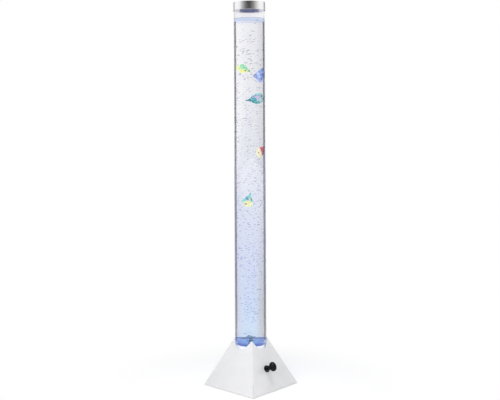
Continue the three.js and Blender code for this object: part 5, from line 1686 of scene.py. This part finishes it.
    def build(self, enamel: Material, inner: Material, cut: Material) -> None:
        """Folds, cuts and paints the shell.

        Args:
            enamel: its finish outside.
            inner: its finish inside, with painted cyan light near the tube.
            cut: the finish of the edge round the tube, steel blue painted shade.
        """
        shell = self.folded()
        inner_low = self.low + self.sheet
        half = self.half - self.flange
        socket_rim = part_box("tube_socket")[1].z
        cutters = [
            self.frustum("hollow", inner_low, self.top + self.overrun * 2, self.sheet),
            block("flange_opening", (-half, -half, 0.0), (half, half, inner_low + self.overrun)),
            self.bar("tube_opening", self.opening_radius, socket_rim, self.apex, 192),
            block("above", (-self.half, -self.half, self.top), (self.half, self.half, self.apex)),
            *self.holes(),
            *self.vents(),
        ]
        carved(shell, cutters, 24.0)
        shell.data.materials.clear()
        coated(shell, enamel, inner, cut)
        for face in shell.data.polygons:
            middle = face.center
            out = face.normal.x * middle.x + face.normal.y * middle.y
            # The edge faces round the tube take the steel blue painted shade; the inside faces take the painted
            # cyan light.
            rim = abs(math.hypot(middle.x, middle.y) - self.opening_radius) < self.rim_slack
            face.material_index = 2 if rim and out < 0 else (1 if out < 0 and middle.z > inner_low else 0)
        settle_normals(shell)
        install(shell, "lamp", "white_paint", "base_shell")


@dataclass
class Dimmer:
    """The black knob and its collar on the sloping face."""

    neck_radius: float = 0.0065
    head_radius: float = 0.0142
    head: float = 0.007
    reach: float = 0.0325
    flare: float = 0.004
    low: float = 0.0053
    bore: float = 0.0033
    roof: float = 0.004
    edge: float = 0.0012
    flutes: int = 18
    flute_depth: float = 0.0007
    fluted_share: float = 0.9
    rim_share: float = 0.72
    dish_share: float = 0.66
    pointer_start: float = 0.3
    pointer_end: float = 0.86
    pointer_half: float = 0.0007
    pointer_bottom: float = 0.0002
    pointer_top: float = 0.0001
    collar_radius: float = 0.0106
    collar_bore: float = 0.0072
    collar_height: float = 0.0044
    sides: int = 180

    def axes(self) -> Matrix:
        """Finds the knob's own axes.

        Returns:
            The axes, with Z out of the face.
        """
        joint = joint_of("knob")
        turn = Vector(joint["axis"]).to_track_quat("Z", "Y").to_matrix().to_4x4()
        return Matrix.Translation(Vector(joint["pos_m"])) @ turn

    def build_knob(self, black: Material, white: Material) -> None:
        """Moulds the knob, fluted round its head, with a pale pointer line that is partly a painted highlight.

        Args:
            black: its plastic.
            white: the pointer's paint, partly a painted highlight.
        """
        head_low = self.reach - self.head
        dish = self.reach - self.edge / 3
        outline = [
            (self.bore, self.low), (self.neck_radius, self.low), (self.neck_radius, head_low - self.flare),
            (self.head_radius - self.edge, head_low), (self.head_radius, head_low + self.edge),
            (self.head_radius, self.reach - self.edge), (self.head_radius - self.edge, self.reach),
            (self.head_radius * self.rim_share, self.reach), (self.head_radius * self.dish_share, dish),
        ]
        inside = [(0.0, dish), (0.0, self.reach - self.roof), (self.bore, self.reach - self.roof)]
        knob = turned("fluted_knob", inside + eased(outline, self.edge / 2, 4), self.sides, 40.0)
        for corner in knob.data.vertices:
            x, y, z = corner.co
            radius = math.hypot(x, y)
            if z > head_low and radius > self.head_radius * self.fluted_share:
                wave = max(0.0, math.cos(self.flutes * math.atan2(y, x))) ** 2
                shrink = 1 - self.flute_depth * wave / radius
                corner.co = (x * shrink, y * shrink, z)
        coated(knob, black)
        install(moved(knob, self.axes()), "knob", "black_plastic", "control_knob")
        start, end = (self.head_radius * share for share in (self.pointer_start, self.pointer_end))
        low = (-self.pointer_half, start, dish - self.pointer_bottom)
        high = (self.pointer_half, end, self.reach - self.pointer_top)
        mark = block("pointer_line", low, high)
        coated(mark, white)
        install(moved(mark, self.axes()), "knob", "black_plastic")

    def build_collar(self, black: Material) -> None:
        """Turns the collar under the knob.

        Args:
            black: its plastic.
        """
        profile = ring_outline(self.collar_bore, self.collar_radius, CLEARANCE, self.collar_height)
        collar = turned("knob_collar", eased(profile, self.edge, 5), 96)
        coated(collar, black)
        install(moved(collar, self.axes()), "lamp", "black_plastic", "knob_bezel")


ENAMEL = Finish("white_enamel", "f0f0f2", "ececee", 0.16, Grain.ORANGE_PEEL, 900.0, 0.00001, coat=0.6)
SATIN = Finish("satin_aluminium", "fafafb", "f2f2f4", 0.2, Grain.TURNED, 900.0, 0.0000012, metallic=1.0)
# Painted shade: dark slate blue for the shade inside the cap, tinted by the lamp's blue light.
SLATE = Finish("slate_painted_shade", "6a7090", "565c7c", 0.5, Grain.MOULDED, 300.0, 0.00003)
# The cap liner's dark slate blue is painted shade, with a painted pale sheen.
LINER = SheenFinish("lined_cap", "5b6186", "6a6f96", "dcdce4")
# Painted shade and blue light: the edge of the shell round the tube is steel blue.
CUT_EDGE = Finish("cut_edge", "7f9fc4", "6d8db4", 0.4, Grain.MOULDED, 300.0, 0.00003)
BLACK = Finish("black_moulding", "0d0d0f", "070708", 0.42, Grain.MOULDED, 1600.0, 0.00002, gloss=0.14)
# The pointer line's pale grey is partly a painted highlight on the knob's face.
POINTER = Finish("pointer_paint_and_highlight", "6a6b70", "585a5e", 0.4, Grain.MOULDED, 900.0, 0.00001)

BENCH_FINISHES: dict[Finish, tuple[str, ...]] = {
    Finish("zinc_plate", "b4b8bc", "868b91", 0.42, Grain.SPANGLE, 160.0, 0.00002, metallic=1.0):
        ("seam_strip", "floor_plate", "dimmer_pot"),
    Finish("foam_pad", "36373a", "232426", 0.95, Grain.FOAMED, 700.0, 0.0004):
        ("foot_pad", "pump_cushion"),
    Finish("bright_steel", "c3c6ca", "9a9da2", 0.3, Grain.TURNED, 2500.0, 0.00001, metallic=1.0):
        tuple(f"{kind}_screw_{i}" for kind in ("corner", "leg") for i in range(1, 5)) + (
            "pump_pivot_pin", "pot_shaft", "pot_nut", "inlet_nut"),
    Finish("white_moulding", "f0f1f3", "e2e4e8", 0.42, Grain.MOULDED, 700.0, 0.00003):
        ("tube_socket", "check_valve", "pump_arm", "pump_valve_block"),
    # Painted light: the reflector glows, as if lit by the lamp.
    Finish("lit_moulding", "f6f9ff", "eaf0fb", 0.42, Grain.MOULDED, 700.0, 0.00003, glow=0.35):
        ("led_reflector",),
    Finish("light_board", "f2f3f5", "e4e6ea", 0.4, Grain.TRACED, 70.0, 0.00004, coat=0.3):
        ("led_board",),
    Finish("package_lens", "dfe9ff", "a9c2ff", 0.12, Grain.MOULDED, 500.0, 0.00001, glow=2.5):
        tuple(f"led_{i}" for i in range(1, 5)),
    Finish("silicone_hose", "e4ecf0", "c8d3da", 0.32, Grain.MOULDED, 300.0, 0.00003, coat=0.3):
        ("lower_hose", "upper_hose", "nozzle_seal"),
    Finish("black_rubber", "2b2c2f", "1a1b1d", 0.8, Grain.MOULDED, 900.0, 0.00005):
        ("pump_bellows",),
    Finish("wound_copper", "c57a45", "8f4d26", 0.36, Grain.WOUND, 420.0, 0.0002, metallic=1.0):
        ("pump_coil",),
    Finish("stacked_iron", "74777c", "4a4d52", 0.5, Grain.LAMINATED, 500.0, 0.0001, metallic=1.0):
        ("pump_core", "pump_magnet"),
    Finish("turned_brass", "cfae62", "a8863e", 0.3, Grain.TURNED, 900.0, 0.00001, metallic=1.0):
        ("nozzle_nut",),
    Finish("lead_sleeve", "dfe0e1", "c4c6c8", 0.55, Grain.MOULDED, 600.0, 0.00004):
        ("led_lead", "pump_lead", "dimmer_lead", "inlet_lead"),
    Finish("green_board", "2d7d55", "17543a", 0.4, Grain.TRACED, 180.0, 0.00006, coat=0.4):
        ("control_board",),
    Finish("black_housing", "202123", "141517", 0.38, Grain.MOULDED, 1200.0, 0.00002):
        ("pump_case", "pump_lid", "board_tray", "board_chip", "power_inlet"),
}


def dress_bench() -> None:
    """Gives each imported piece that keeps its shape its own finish."""
    finish_packed("cap_liner", LINER.make())
    for finish, names in BENCH_FINISHES.items():
        material = finish.make()
        for name in names:
            finish_packed(name, material)


def main() -> None:
    """Builds the scene in order."""
    logging.basicConfig(level=logging.INFO, format="%(name)s: %(message)s")
    Studio().build()
    Column().build()
    for fish in SHOAL:
        fish.build()
    Cap().build(SATIN.make(), SLATE.make())
    Base().build(ENAMEL.make(), InnerFaceFinish().make(), CUT_EDGE.make())
    black = BLACK.make()
    dimmer = Dimmer()
    dimmer.build_knob(black, POINTER.make())
    dimmer.build_collar(black)
    dress_bench()


if __name__ == "__main__":
    main()
